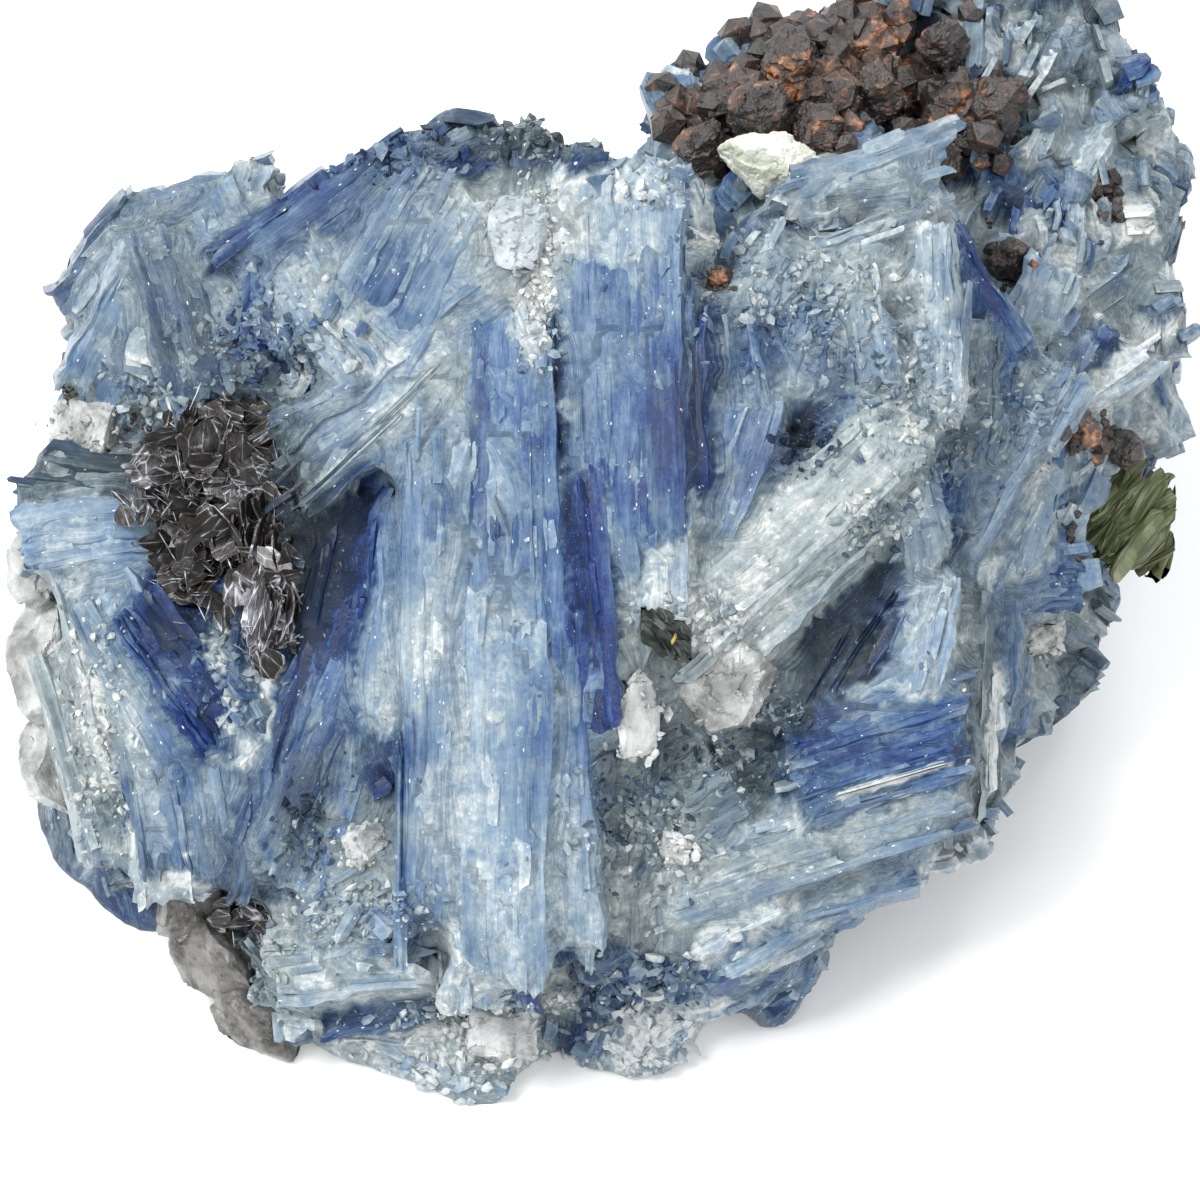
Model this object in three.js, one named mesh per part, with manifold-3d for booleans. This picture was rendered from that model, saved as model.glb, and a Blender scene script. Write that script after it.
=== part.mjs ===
// Kyanite blade cluster: a hand-sized lump of intergrown kyanite blades with pockets of
// smoky mica, grains of quartz and feldspar, and garnets on its far shoulder.
//
// Millimetres, +Z up. The origin is the middle of the flat broken face that it rests on.
// The broad blade face leans back from the front. Pieces on it are placed in the face's own
// frame: u runs right, v runs up the slope and w stands out of it.
import * as THREE from 'three';
import { ConvexGeometry } from 'three/addons/geometries/ConvexGeometry.js';
import { mergeVertices } from 'three/addons/utils/BufferGeometryUtils.js';
import Module from 'manifold-3d';

const wasm = await Module();
wasm.setup();

// ---------------------------------------------------------------- driving dimensions
const FACE_LEAN = 40; // degrees that the blade face leans back from level
const FACE_ORIGIN = [-2, -19, 24]; // where u = v = w = 0 is
const SEAT_GAP = 0.3; // round every grain that sits in a pocket of its own
const FLOOR_CUT = 200; // size of the block that trims the underside flat

const SHOULDER = 0.16; // bevelled edge of a blade, as a share of its width
const SHOULDER_DROP = 0.28; // and how far that edge falls, as a share of its thickness
const FACET_ROUGHNESS = 0.13; // how uneven the broken lumps are

const COLOUR = {
  kyanite: '#6f8db8',
  quartz: '#c9c6c0',
  feldspar: '#e6e8d6',
  mica: '#37322d',
  garnet: '#6b3422',
  hornblende: '#2c3234',
  greenMica: '#5f6a45',
};
const ROUGHNESS = {
  kyanite: 0.42,
  quartz: 0.3,
  feldspar: 0.6,
  mica: 0.35,
  garnet: 0.4,
  hornblende: 0.45,
  greenMica: 0.5,
};

// ---------------------------------------------------------------- solids and placing
// A repeatable random number from 0 to 1 for each call.
function seeded(seed) {
  let state = seed >>> 0;
  return () => {
    state = (state + 0x6d2b79f5) >>> 0;
    let t = state;
    t = Math.imul(t ^ (t >>> 15), t | 1);
    t ^= t + Math.imul(t ^ (t >>> 7), t | 61);
    return ((t ^ (t >>> 14)) >>> 0) / 4294967296;
  };
}

function cornersOnly(geometry) {
  const bare = geometry.clone();
  for (const name of Object.keys(bare.attributes)) {
    if (name !== 'position') bare.deleteAttribute(name);
  }
  return mergeVertices(bare, 1e-4);
}

function solidOf(geometry) {
  const merged = cornersOnly(geometry);
  return new wasm.Manifold(
    new wasm.Mesh({
      numProp: 3,
      vertProperties: new Float32Array(merged.attributes.position.array),
      triVerts: new Uint32Array(merged.index.array),
    }),
  );
}

function geometryOf(solid) {
  const mesh = solid.getMesh();
  const geometry = new THREE.BufferGeometry();
  geometry.setAttribute('position', new THREE.BufferAttribute(mesh.vertProperties, mesh.numProp));
  geometry.setIndex(new THREE.BufferAttribute(mesh.triVerts, 1));
  geometry.computeVertexNormals();
  return geometry;
}

const radians = THREE.MathUtils.degToRad;

// The leaning blade face. Its grains are its children, and its blades are posed in its frame.
const face = new THREE.Group();
face.position.set(...FACE_ORIGIN);
face.rotation.x = radians(FACE_LEAN);
face.updateMatrix();

// heading turns clockwise from straight up the slope, tilt lifts the upper end and roll turns
// about the length.
function posed(object, { at, heading = 0, tilt = 0, roll = 0 }) {
  object.position.set(...at);
  object.rotation.set(radians(tilt), radians(roll), radians(-heading), 'ZXY');
  return object;
}

function onFace(spot) {
  const object = posed(new THREE.Object3D(), spot);
  object.updateMatrix();
  return object.matrix.premultiply(face.matrix);
}

// A place on the far side: reach out from the middle of a lump, facing so many degrees from
// +X and lifted above level.
function onBack({ from, facing, lift = 0, reach, heading = 0 }) {
  return new THREE.Matrix4()
    .makeTranslation(...from)
    .multiply(new THREE.Matrix4().makeRotationZ(radians(facing + 90)))
    .multiply(new THREE.Matrix4().makeRotationX(radians(90 - lift)))
    .multiply(new THREE.Matrix4().makeTranslation(0, 0, reach))
    .multiply(new THREE.Matrix4().makeRotationZ(radians(-heading)));
}

// ---------------------------------------------------------------- shapes of the crystals
// A lump of broken rock: an icosahedron with every corner pushed in or out a little.
function lump(radii, seed, detail = 2) {
  const next = seeded(seed);
  const geometry = cornersOnly(new THREE.IcosahedronGeometry(1, detail));
  const corners = geometry.attributes.position;
  for (let i = 0; i < corners.count; i += 1) {
    const reach = 1 + FACET_ROUGHNESS * (next() - 0.5);
    corners.setXYZ(i, corners.getX(i) * reach, corners.getY(i) * reach, corners.getZ(i) * reach);
  }
  return geometry.scale(...radii);
}

// A kyanite blade along Y with its flat top at Z = 0: long, flat, with bevelled shoulders.
// slant shears both ends, because the blades break off at an angle.
function blade([length, width, thickness], slant = 0, narrow = 0.12) {
  const half = width / 2;
  const shoulder = width * SHOULDER;
  const drop = thickness * SHOULDER_DROP;
  const profile = new THREE.Shape([
    new THREE.Vector2(-half, -thickness),
    new THREE.Vector2(half, -thickness),
    new THREE.Vector2(half, -drop),
    new THREE.Vector2(half - shoulder, 0),
    new THREE.Vector2(-half + shoulder, 0),
    new THREE.Vector2(-half, -drop),
  ]);
  const geometry = cornersOnly(
    new THREE.ExtrudeGeometry(profile, { depth: length, bevelEnabled: false, steps: 1 })
      .translate(0, 0, -length / 2)
      .rotateX(-Math.PI / 2)
      .rotateY(Math.PI),
  );
  const corners = geometry.attributes.position;
  for (let i = 0; i < corners.count; i += 1) {
    const [x, y, z] = [corners.getX(i), corners.getY(i), corners.getZ(i)];
    const taper = 1 - narrow * Math.sign(y);
    corners.setXYZ(i, x * taper, y + slant * x, z);
  }
  return geometry;
}

// A garnet is a rhombic dodecahedron, the shape that it grows in.
function garnet(radius) {
  const corners = [];
  for (const x of [-1, 1]) {
    for (const y of [-1, 1]) {
      for (const z of [-1, 1]) corners.push(new THREE.Vector3(x, y, z));
    }
  }
  for (const s of [-2, 2]) {
    corners.push(new THREE.Vector3(s, 0, 0), new THREE.Vector3(0, s, 0), new THREE.Vector3(0, 0, s));
  }
  return new ConvexGeometry(corners.map((c) => c.multiplyScalar(radius / 2)));
}

// A mica book is a short six-sided stack of sheets, flat along its own Z.
function micaBook([radius, thickness]) {
  return new THREE.CylinderGeometry(radius, radius, thickness, 6).rotateX(Math.PI / 2);
}

// ---------------------------------------------------------------- the intergrown kyanite
// Broken rock behind the blades, in the face's frame: where each lump is, and its three radii.
const LUMPS = [
  { at: [-5, 0, -13.5], radii: [20, 23, 11.5] },
  { at: [9, 3, -13.5], radii: [13, 17, 10] },
  { at: [-19, 5, -15.5], radii: [11, 14, 8] },
  { at: [-19, -9, -21], radii: [13.5, 13, 9] },
  { at: [-9, -18.5, -13], radii: [12, 7.5, 7] },
  { at: [3, -16, -12], radii: [12, 7, 8] },
  { at: [20, 9, -19.5], radii: [11, 12, 9] },
  { at: [20, 24, -29], radii: [14.5, 13, 11] },
  { at: [11.5, 23, -25], radii: [9.5, 11, 9] },
  { at: [24, 14, -22], radii: [9.5, 12, 8] },
];
// The rock that they stand in, in the part's own frame: the foot that spreads under them all,
// then the bulk under the far shoulder and the bulk behind the left of the face.
const FOOT = [
  { at: [0, -1, 7], radii: [27, 27, 10] },
  { at: [12, 13.5, 9], radii: [16.5, 14, 10] },
  { at: [-12, 2, 12], radii: [16, 14, 13] },
];

// The largest blades, in the face's frame. size is length, width and thickness.
const BLADES = [
  // the upright spine in the middle, and the sheaf beside it
  { at: [-7.3, -1, -0.2], size: [27, 4.8, 5], heading: 1, roll: -9 },
  { at: [-4, 4.2, 0.4], size: [20, 3.6, 5], heading: 5, roll: 6 },
  { at: [-5, -10.5, 0], size: [17, 5.6, 5], heading: 1, tilt: 4 },
  { at: [-5, -17.3, -1.6], size: [7.5, 4, 6], heading: 0, tilt: 10 },
  { at: [-1.6, 0.6, -0.9], size: [14.5, 3, 4], heading: -5, roll: 10, slant: 0.5 },
  { at: [0, 11, -0.8], size: [23, 5.4, 5], heading: 1, roll: 4, slant: -0.3 },
  { at: [3.2, 9.5, -1.3], size: [16, 4, 5], heading: 0, roll: 12 },
  { at: [2.9, 2, -1.6], size: [8.5, 5.4, 5], heading: 6, roll: 8 },
  // upper left: the broad face, the pale diagonal and the dark shoulder above it
  { at: [-8.8, 17, -0.9], size: [9.5, 7, 6], heading: 38, roll: -8, slant: 0.3 },
  { at: [-10.8, 9.4, -1], size: [12.5, 3.4, 5], heading: 50, roll: -6 },
  { at: [-10.8, 13.2, -1.6], size: [5, 3, 4], heading: -45 },
  { at: [-13.6, 14.6, -2.9], size: [7, 3.6, 5], heading: -35, roll: -8 },
  { at: [-13.6, 9.6, -3.2], size: [7, 3.4, 5], heading: 60, roll: -8 },
  { at: [-11.8, 20.4, -2.8], size: [14, 5, 7], heading: 54, roll: -10 },
  { at: [-3, 22.6, -3.4], size: [9, 3, 7], heading: 96 },
  // far upper left: the rounded shoulder
  { at: [-21.4, 17, -6.2], size: [11, 7, 8], heading: 12, roll: -16, tilt: -8 },
  { at: [-25.6, 13.4, -8.2], size: [8, 4, 8], heading: 8, roll: -22 },
  { at: [-21.6, 12.6, -7], size: [7, 5.4, 6], heading: 5, roll: -8 },
  { at: [-17.6, 19, -5.6], size: [6, 3.4, 7], heading: -18, roll: -8 },
  // left: the level blade, the deep blue blades under the mica and the outer rim
  { at: [-25.8, 3.6, -8.6], size: [9.5, 3.2, 6], heading: 85, roll: -4 },
  { at: [-22.2, -2.6, -8.6], size: [11, 5, 6], heading: -42, roll: -6 },
  { at: [-25.8, -6, -10.5], size: [17.5, 3.6, 7], heading: -21, roll: -20 },
  { at: [-22.9, -10, -8.8], size: [10.5, 4.4, 7], heading: -8, roll: -10 },
  { at: [-17.7, -5.4, -6.6], size: [6, 4, 4], heading: 42 },
  { at: [-12.1, 0.8, -2.9], size: [9.5, 4, 5], heading: 18, roll: -10 },
  { at: [-13.9, -9.3, -3.8], size: [12, 4.4, 6], heading: 22, roll: -12 },
  { at: [-10.2, -14.6, -3], size: [9, 4.4, 6], heading: 45, roll: -6 },
  { at: [-11.8, -18.3, -4.6], size: [11, 3.8, 7], heading: 84, roll: 4 },
  { at: [-12.8, -21.6, -7.2], size: [9, 3.6, 6], heading: 87, roll: 10 },
  { at: [-10.8, -24.6, -9.4], size: [10, 2, 4], heading: 111 },
  // right: the granular face, the pale diagonal blade and the dark fan under it
  { at: [11, 14.6, -3.2], size: [11, 11, 7], heading: 4, roll: 10, tilt: -4 },
  { at: [16.9, 12.6, -5.2], size: [14, 3, 7], heading: 2, roll: 20 },
  { at: [12.4, 20.4, -6.4], size: [12.5, 5.6, 7], heading: 76, roll: -20 },
  { at: [9, 3.6, -1.9], size: [16.5, 5.2, 4], heading: 48, roll: 6 },
  { at: [6.4, 6.9, -1.9], size: [7.4, 3, 4], heading: 25, roll: 6 },
  { at: [15.8, 5.4, -5], size: [6.5, 3, 5], heading: -14, roll: 8 },
  { at: [12.6, -2.4, -4.6], size: [10, 5, 5], heading: 31, roll: 6 },
  { at: [16.9, -1, -5.6], size: [8.6, 3, 6], heading: -8, roll: 8 },
  { at: [14.2, -8.8, -4.2], size: [10, 6.8, 6], heading: 69, roll: 8 },
  { at: [10.8, -13, -4], size: [14, 3.6, 6], heading: 71, roll: 14 },
  { at: [5, -16.2, -4.4], size: [10.5, 4.2, 7], heading: 66, roll: 16 },
  { at: [12.6, -15.8, -7.2], size: [11, 3, 6], heading: 72, roll: 20 },
  { at: [19.2, -7.4, -8.6], size: [11, 2.6, 7], heading: -8, roll: 20 },
  { at: [2.6, -21.2, -8.8], size: [7, 4.4, 7], heading: 30, roll: 4 },
  // far right and the rear shoulder
  { at: [20.6, 14.6, -9.5], size: [8, 3.4, 8], heading: -14, roll: 14 },
  { at: [21.8, 6.2, -10.4], size: [12, 4.6, 8], heading: 22, roll: 12 },
  { at: [25.6, 11.6, -12.6], size: [9, 3.2, 8], heading: 20, roll: 10 },
  { at: [28.4, 12.4, -13.6], size: [11, 2.6, 7], heading: 54, roll: 10 },
  { at: [23.2, 1.4, -12.4], size: [7.4, 4.6, 7], heading: 80, roll: 8 },
  { at: [21.4, -3.2, -11.6], size: [6.5, 2.6, 7], heading: 12, roll: 10 },
  { at: [27.6, 26, -21.6], size: [14, 7, 9], heading: -14, roll: 14, tilt: -6 },
  { at: [29.8, 19.6, -19.6], size: [11, 6, 9], heading: -6, roll: 22 },
];

// Blades that show on the back and the sides, in the part's own frame.
const SHOULDER_MIDDLE = [18, 18, 17];
const CREST_MIDDLE = [9, 15, 18];
const LEFT_MIDDLE = [-12, 2, 12];
const BACK_BLADES = [
  { from: SHOULDER_MIDDLE, facing: 8, lift: 14, reach: 13.6, heading: -24, size: [17, 5.4, 6] },
  { from: SHOULDER_MIDDLE, facing: 36, lift: 4, reach: 13.2, heading: 12, size: [19, 6.4, 6] },
  { from: SHOULDER_MIDDLE, facing: 66, lift: 22, reach: 13.4, heading: -8, size: [17, 6, 6] },
  { from: SHOULDER_MIDDLE, facing: 96, lift: 8, reach: 13, heading: 22, size: [18, 5, 6] },
  { from: SHOULDER_MIDDLE, facing: 60, lift: 58, reach: 12.6, heading: 40, size: [15, 6, 6] },
  { from: SHOULDER_MIDDLE, facing: 48, lift: -22, reach: 12.4, heading: 66, size: [17, 5, 6] },
  { from: CREST_MIDDLE, facing: 112, lift: 20, reach: 10.4, heading: -30, size: [15, 5.4, 6] },
  { from: CREST_MIDDLE, facing: 148, lift: 4, reach: 9.6, heading: 6, size: [15, 6, 6] },
  { from: CREST_MIDDLE, facing: 128, lift: 50, reach: 9.2, heading: 34, size: [10, 5, 6] },
  { from: LEFT_MIDDLE, facing: 124, lift: 8, reach: 14.4, heading: -14, size: [17, 6, 7] },
  { from: LEFT_MIDDLE, facing: 152, lift: 20, reach: 14.6, heading: 18, size: [18, 6, 7] },
  { from: LEFT_MIDDLE, facing: 178, lift: 12, reach: 15, heading: -34, size: [15, 5, 7] },
  { from: LEFT_MIDDLE, facing: 138, lift: 46, reach: 13.2, heading: 70, size: [14, 5, 7] },
  { from: LEFT_MIDDLE, facing: 206, lift: 4, reach: 15.2, heading: 30, size: [13, 4.6, 7] },
];

// ---------------------------------------------------------------- grains in their pockets
const GRAINS = [
  // white and grey quartz
  { name: 'quartz_crest', kind: 'quartz', at: [-4.3, 18.3, -1.7], radii: [1.8, 3.8, 2] },
  { name: 'quartz_wedge', kind: 'quartz', at: [1.4, -6.4, -2.8], radii: [1.7, 4.2, 2.2] },
  { name: 'quartz_centre', kind: 'quartz', at: [6, -4.3, -3.9], radii: [3.2, 3.8, 2.2] },
  { name: 'quartz_band', kind: 'quartz', at: [-12, -12.7, -4], radii: [1.3, 3.2, 1.6], heading: 62 },
  { name: 'quartz_foot', kind: 'quartz', at: [-5.6, -22.6, -7.6], radii: [3.8, 2.2, 2.6] },
  { name: 'quartz_left', kind: 'quartz', at: [-26.8, 9, -10], radii: [3, 2.2, 2.4] },
  { name: 'quartz_right', kind: 'quartz', at: [24.2, -1.2, -14.6], radii: [2.3, 1.7, 2] },
  { name: 'quartz_spot', kind: 'quartz', at: [3.8, -12.7, -4.6], radii: [1.3, 1.2, 1.3] },
  { name: 'feldspar', kind: 'feldspar', at: [9.6, 22.6, -15.8], radii: [3.6, 2, 2.2], heading: 18 },
  // smoky mica in the pocket on the left
  { name: 'mica_book_upper', kind: 'mica', at: [-20.4, 8.8, -7.6], size: [2.9, 2.4], heading: 20, tilt: 14 },
  { name: 'mica_book_middle', kind: 'mica', at: [-18, 3.6, -6.6], size: [2.9, 2.2], heading: 50, roll: 24 },
  { name: 'mica_book_lower', kind: 'mica', at: [-16.4, -0.6, -4.9], size: [2.2, 2], heading: 5, roll: -24 },
  { name: 'mica_book_outer', kind: 'mica', at: [-23.6, 5, -8.8], size: [1.4, 1.5], heading: 0, tilt: -30 },
  // one dark splinter of hornblende and a slip of green mica
  { name: 'hornblende', kind: 'hornblende', at: [3.3, -1.6, -1.6], radii: [0.8, 1.5, 0.9], heading: -50 },
  { name: 'green_mica', kind: 'greenMica', at: [28.8, 4.6, -16.2], radii: [1.9, 4, 2.6], heading: 42 },
];

// Garnets: the dark cluster on the far shoulder, and single ones elsewhere.
const GARNETS = [
  { at: [5.8, 25.4, -18.8], radius: 1.9 },
  { at: [8.8, 27, -17.2], radius: 2.2 },
  { at: [12.2, 26, -17.2], radius: 1.9 },
  { at: [10.8, 30.2, -19.4], radius: 2.1 },
  { at: [15.6, 28.4, -19.8], radius: 2.3 },
  { at: [18.6, 24.8, -18.2], radius: 2 },
  { at: [22.4, 27.6, -19.2], radius: 2.2 },
  { at: [19.4, 31.4, -20.6], radius: 1.8 },
  { at: [25.8, 9, -12.2], radius: 1.4 },
  { at: [28.6, 8.2, -14.4], radius: 1.3 },
  { at: [6.2, 16.4, -3.7], radius: 0.9 },
  { at: [22.6, 18.6, -14.6], radius: 1.4 },
  { at: [-27.6, 12.2, -11.6], radius: 1.6 },
];
GARNETS.forEach((grain, i) => {
  const place = { heading: 37 * i, tilt: 23 * i, roll: 11 * i };
  GRAINS.push({ name: `garnet_${i + 1}`, kind: 'garnet', ...place, ...grain });
});

// The grain's own shape, grown all round by extra.
function grainGeometry(grain, extra) {
  if (grain.kind === 'garnet') return garnet(grain.radius + extra);
  if (grain.kind === 'mica') return micaBook([grain.size[0] + extra, grain.size[1] + 2 * extra]);
  return lump(grain.radii.map((r) => r + extra), 7 + grain.name.length, 1);
}

// ---------------------------------------------------------------- putting it together
function joined(solids) {
  return solids.reduce((whole, solid) => whole.add(solid));
}

function largestBody(solid) {
  return solid.decompose().reduce((a, b) => (b.volume() > a.volume() ? b : a));
}

// All the blades and the rock behind them grew as one, with a flat break underneath and a
// pocket for each grain.
function kyaniteSolid() {
  const lumps = LUMPS.map((l, i) => solidOf(lump(l.radii, 100 + i).applyMatrix4(onFace(l))));
  const foot = FOOT.map((l, i) => solidOf(lump(l.radii, 90 + i, 3).translate(...l.at)));
  const blades = BLADES.map((b) => solidOf(blade(b.size, b.slant).applyMatrix4(onFace(b))));
  const back = BACK_BLADES.map((b) => solidOf(blade(b.size).applyMatrix4(onBack(b))));
  const pockets = GRAINS.map((g) => solidOf(grainGeometry(g, SEAT_GAP).applyMatrix4(onFace(g))));
  const floor = solidOf(
    new THREE.BoxGeometry(FLOOR_CUT, FLOOR_CUT, FLOOR_CUT).translate(0, 0, -FLOOR_CUT / 2),
  );
  const rock = joined([...lumps, ...foot, ...blades, ...back]);
  return largestBody(rock.subtract(floor).subtract(joined(pockets)));
}

function namedMesh(name, kind, solid) {
  const material = new THREE.MeshStandardMaterial({
    color: COLOUR[kind],
    metalness: 0,
    roughness: ROUGHNESS[kind],
    flatShading: true,
  });
  const mesh = new THREE.Mesh(geometryOf(solid), material);
  mesh.name = name;
  return mesh;
}

const specimen = new THREE.Group();
specimen.add(namedMesh('kyanite_blades', 'kyanite', kyaniteSolid()));
for (const grain of GRAINS) {
  face.add(posed(namedMesh(grain.name, grain.kind, solidOf(grainGeometry(grain, 0))), grain));
}
specimen.add(face);

// The origin goes to the middle of the whole part, seen from above.
const middle = new THREE.Box3().setFromObject(specimen, true).getCenter(new THREE.Vector3());
specimen.position.set(-middle.x, -middle.y, 0);

const cluster = new THREE.Group();
cluster.add(specimen);

export default cluster;
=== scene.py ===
"""Kyanite blade cluster: sheaves of blue blades grown through one another, with smoky mica, quartz,
feldspar and rusty garnets in the hollows between them. Scene units are metres."""
from math import radians

import bmesh
import bpy
import numpy as np
from mathutils import Matrix, Vector, noise
from mathutils.bvhtree import BVHTree


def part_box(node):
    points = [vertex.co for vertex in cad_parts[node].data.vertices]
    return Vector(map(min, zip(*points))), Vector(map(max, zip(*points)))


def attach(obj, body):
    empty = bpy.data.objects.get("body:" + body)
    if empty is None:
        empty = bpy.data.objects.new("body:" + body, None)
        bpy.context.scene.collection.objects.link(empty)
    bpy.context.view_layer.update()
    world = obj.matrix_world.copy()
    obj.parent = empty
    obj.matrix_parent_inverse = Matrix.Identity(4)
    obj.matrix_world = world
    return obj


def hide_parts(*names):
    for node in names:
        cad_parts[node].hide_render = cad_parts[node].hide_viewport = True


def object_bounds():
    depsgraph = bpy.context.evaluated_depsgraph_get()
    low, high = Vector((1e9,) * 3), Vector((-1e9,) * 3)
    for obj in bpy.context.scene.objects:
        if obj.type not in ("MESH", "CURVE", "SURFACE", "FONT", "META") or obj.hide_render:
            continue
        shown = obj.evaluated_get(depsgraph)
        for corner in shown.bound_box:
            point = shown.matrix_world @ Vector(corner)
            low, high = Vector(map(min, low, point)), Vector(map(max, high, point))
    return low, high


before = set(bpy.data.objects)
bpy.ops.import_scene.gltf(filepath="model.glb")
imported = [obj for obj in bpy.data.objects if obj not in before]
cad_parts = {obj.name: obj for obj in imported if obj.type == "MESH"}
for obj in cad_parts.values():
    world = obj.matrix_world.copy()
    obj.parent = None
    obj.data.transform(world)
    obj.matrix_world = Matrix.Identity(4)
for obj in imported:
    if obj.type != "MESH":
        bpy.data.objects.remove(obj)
cad_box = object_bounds()

# ---------------------------------------------------------------- the leaning face
# The blades lie on a broad face that leans back. Places on it are given in millimetres: u to the
# right, v up the slope and w out of the face. The three quarters of the stone behind it stay rough.
MM = 0.001
FACE_LEAN = radians(40)
FACE_ORIGIN = Vector((-1.12, -18.855, 24.0)) * MM
face_turn = np.array(Matrix.Rotation(FACE_LEAN, 3, "X"))


def face_to_world(points):
    return (np.asarray(points, float) * MM) @ face_turn.T + np.array(FACE_ORIGIN)


def face_rotations(heading, tilt, roll):
    """One turn for each blade, in world axes: heading counts anticlockwise from the right."""
    h, t, r = (np.radians(np.asarray(a, float)) for a in (np.subtract(heading, 90), tilt, roll))
    turns = np.zeros((len(h), 3, 3))
    ch, sh, ct, st, cr, sr = np.cos(h), np.sin(h), np.cos(t), np.sin(t), np.cos(r), np.sin(r)
    turns[:, 0] = np.stack([ch * cr - sh * st * sr, -sh * ct, ch * sr + sh * st * cr], 1)
    turns[:, 1] = np.stack([sh * cr + ch * st * sr, ch * ct, sh * sr - ch * st * cr], 1)
    turns[:, 2] = np.stack([-ct * sr, st, ct * cr], 1)
    return np.einsum("ij,njk->nik", face_turn, turns)


# ---------------------------------------------------------------- light, floor and camera
# A sheet of white paper under soft daylight, seen from in front and well above.
CAMERA_AWAY = 0.16
PAPER_HALF_WIDTH = 0.9


def new_material(name):
    """A material, its node tree and its Principled shader."""
    made = bpy.data.materials.new(name)
    made.use_nodes = True
    return made, made.node_tree, made.node_tree.nodes["Principled BSDF"]


def feed(tree, node, values):
    """Links each value that is a socket to its input, and sets the others."""
    for key, value in values.items():
        if isinstance(value, bpy.types.NodeSocket):
            tree.links.new(value, node.inputs[key])
        else:
            node.inputs[key].default_value = value


paper = bpy.data.meshes.new("paper")
bm = bmesh.new()
bmesh.ops.create_grid(bm, x_segments=1, y_segments=1, size=PAPER_HALF_WIDTH)
bm.to_mesh(paper)
bm.free()
floor = bpy.data.objects.new("paper", paper)
bpy.context.scene.collection.objects.link(floor)
white, tree, skin = new_material("white paper")
feed(tree, skin, {"Base Color": (0.92, 0.92, 0.915, 1), "Roughness": 0.9})
paper.materials.append(white)

scene = bpy.context.scene
scene.view_settings.view_transform = "Standard"
world = bpy.data.worlds.new("daylight")
scene.world = world
world.use_nodes = True
sky = world.node_tree.nodes["Background"]
feed(world.node_tree, sky, {"Color": (0.97, 0.985, 1.0, 1), "Strength": 0.80})

for name, place, size, watts in (
    ("window left", (-0.30, -0.10, 0.42), 0.22, 2.4),
    ("window back", (0.16, 0.34, 0.40), 0.20, 1.2),
    ("lamp glint", (0.10, -0.36, 0.46), 0.05, 0.9),
):
    light = bpy.data.lights.new(name, "AREA")
    light.size = size
    light.energy = watts
    lamp = bpy.data.objects.new(name, light)
    scene.collection.objects.link(lamp)
    lamp.location = place
    lamp.rotation_euler = (Vector((0, 0, 0.02)) - lamp.location).to_track_quat("-Z", "Y").to_euler()

lens = bpy.data.cameras.new("camera")
lens.lens = 96
lens.sensor_width = 36
lens.clip_start = 0.01
camera = bpy.data.objects.new("camera", lens)
scene.collection.objects.link(camera)
camera.location = face_to_world([0, 0, CAMERA_AWAY / MM])
camera.rotation_euler = (FACE_LEAN, 0, 0)
scene.camera = camera

# ---------------------------------------------------------------- the kyanite's colour
# Kyanite is zoned along its blades: a cobalt core, pale blue sides and white where it has cleaved or
# frayed. "grain" holds across, along and a number of its own for each lath. "tint" holds how pale,
# how grey and how frayed it is.


def new_node(tree, kind, values=(), **settings):
    made = tree.nodes.new(kind)
    for key, value in settings.items():
        setattr(made, key, value)
    feed(tree, made, dict(values))
    return made


def attribute(tree, name):
    return new_node(tree, "ShaderNodeAttribute", attribute_name=name).outputs["Vector"]


def object_place(tree):
    return new_node(tree, "ShaderNodeTexCoord").outputs["Object"]


def bumped(tree, skin, height, relief_mm):
    """Fine relief, as deep as relief_mm, on a shader."""
    bump = new_node(tree, "ShaderNodeBump", {"Height": height, "Strength": 1.0, "Distance": relief_mm * MM})
    feed(tree, skin, {"Normal": bump.outputs[0]})


def stretched(tree, vector, scale, detail=3.0, roughness=0.55):
    """Noise drawn out along one direction: scale is how many bumps to a unit of each axis."""
    mapped = new_node(tree, "ShaderNodeMapping", {"Vector": vector, "Scale": scale})
    return new_node(
        tree, "ShaderNodeTexNoise",
        {"Vector": mapped.outputs[0], "Scale": 1.0, "Detail": detail, "Roughness": roughness},
    ).outputs["Fac"]


def maths(tree, operation, a, b=0.0, c=0.0, clamp=False):
    values = {0: a, 1: b, 2: c} if operation == "MULTIPLY_ADD" else {0: a, 1: b}
    return new_node(tree, "ShaderNodeMath", values, operation=operation, use_clamp=clamp).outputs[0]


def swung(tree, value, amount, onto, clamp=False):
    """Another value with this one's swing about its middle, times amount, added to it."""
    return maths(tree, "MULTIPLY_ADD", maths(tree, "SUBTRACT", value, 0.5), amount, onto, clamp)


def risen(tree, value, low, high):
    """0 up to low, 1 from high on and a slope between."""
    values = {"Value": value, "From Min": low, "From Max": high}
    return new_node(tree, "ShaderNodeMapRange", values).outputs[0]


def ramp(tree, factor, stops):
    made = new_node(tree, "ShaderNodeValToRGB", {"Fac": factor})
    elements = made.color_ramp.elements
    while len(elements) < len(stops):
        elements.new(0.5)
    for element, (position, colour) in zip(elements, stops):
        element.position = position
        element.color = (*colour, 1)
    return made.outputs["Color"]


NAVY = (0.007, 0.018, 0.052)
COBALT = (0.007, 0.027, 0.135)
MID_BLUE = (0.049, 0.105, 0.220)
PALE_BLUE = (0.165, 0.245, 0.335)
FROST = (0.345, 0.412, 0.458)
WHITE = (0.560, 0.592, 0.605)
ZONES = ((0.0, NAVY), (0.17, COBALT), (0.36, MID_BLUE), (0.62, PALE_BLUE), (0.84, FROST), (1.0, WHITE))
GREY_ZONES = (
    (0.0, (0.012, 0.020, 0.028)), (0.3, (0.044, 0.066, 0.083)), (0.6, (0.185, 0.230, 0.248)),
    (0.85, (0.37, 0.41, 0.41)), (1.0, (0.58, 0.59, 0.57)),
)

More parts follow.
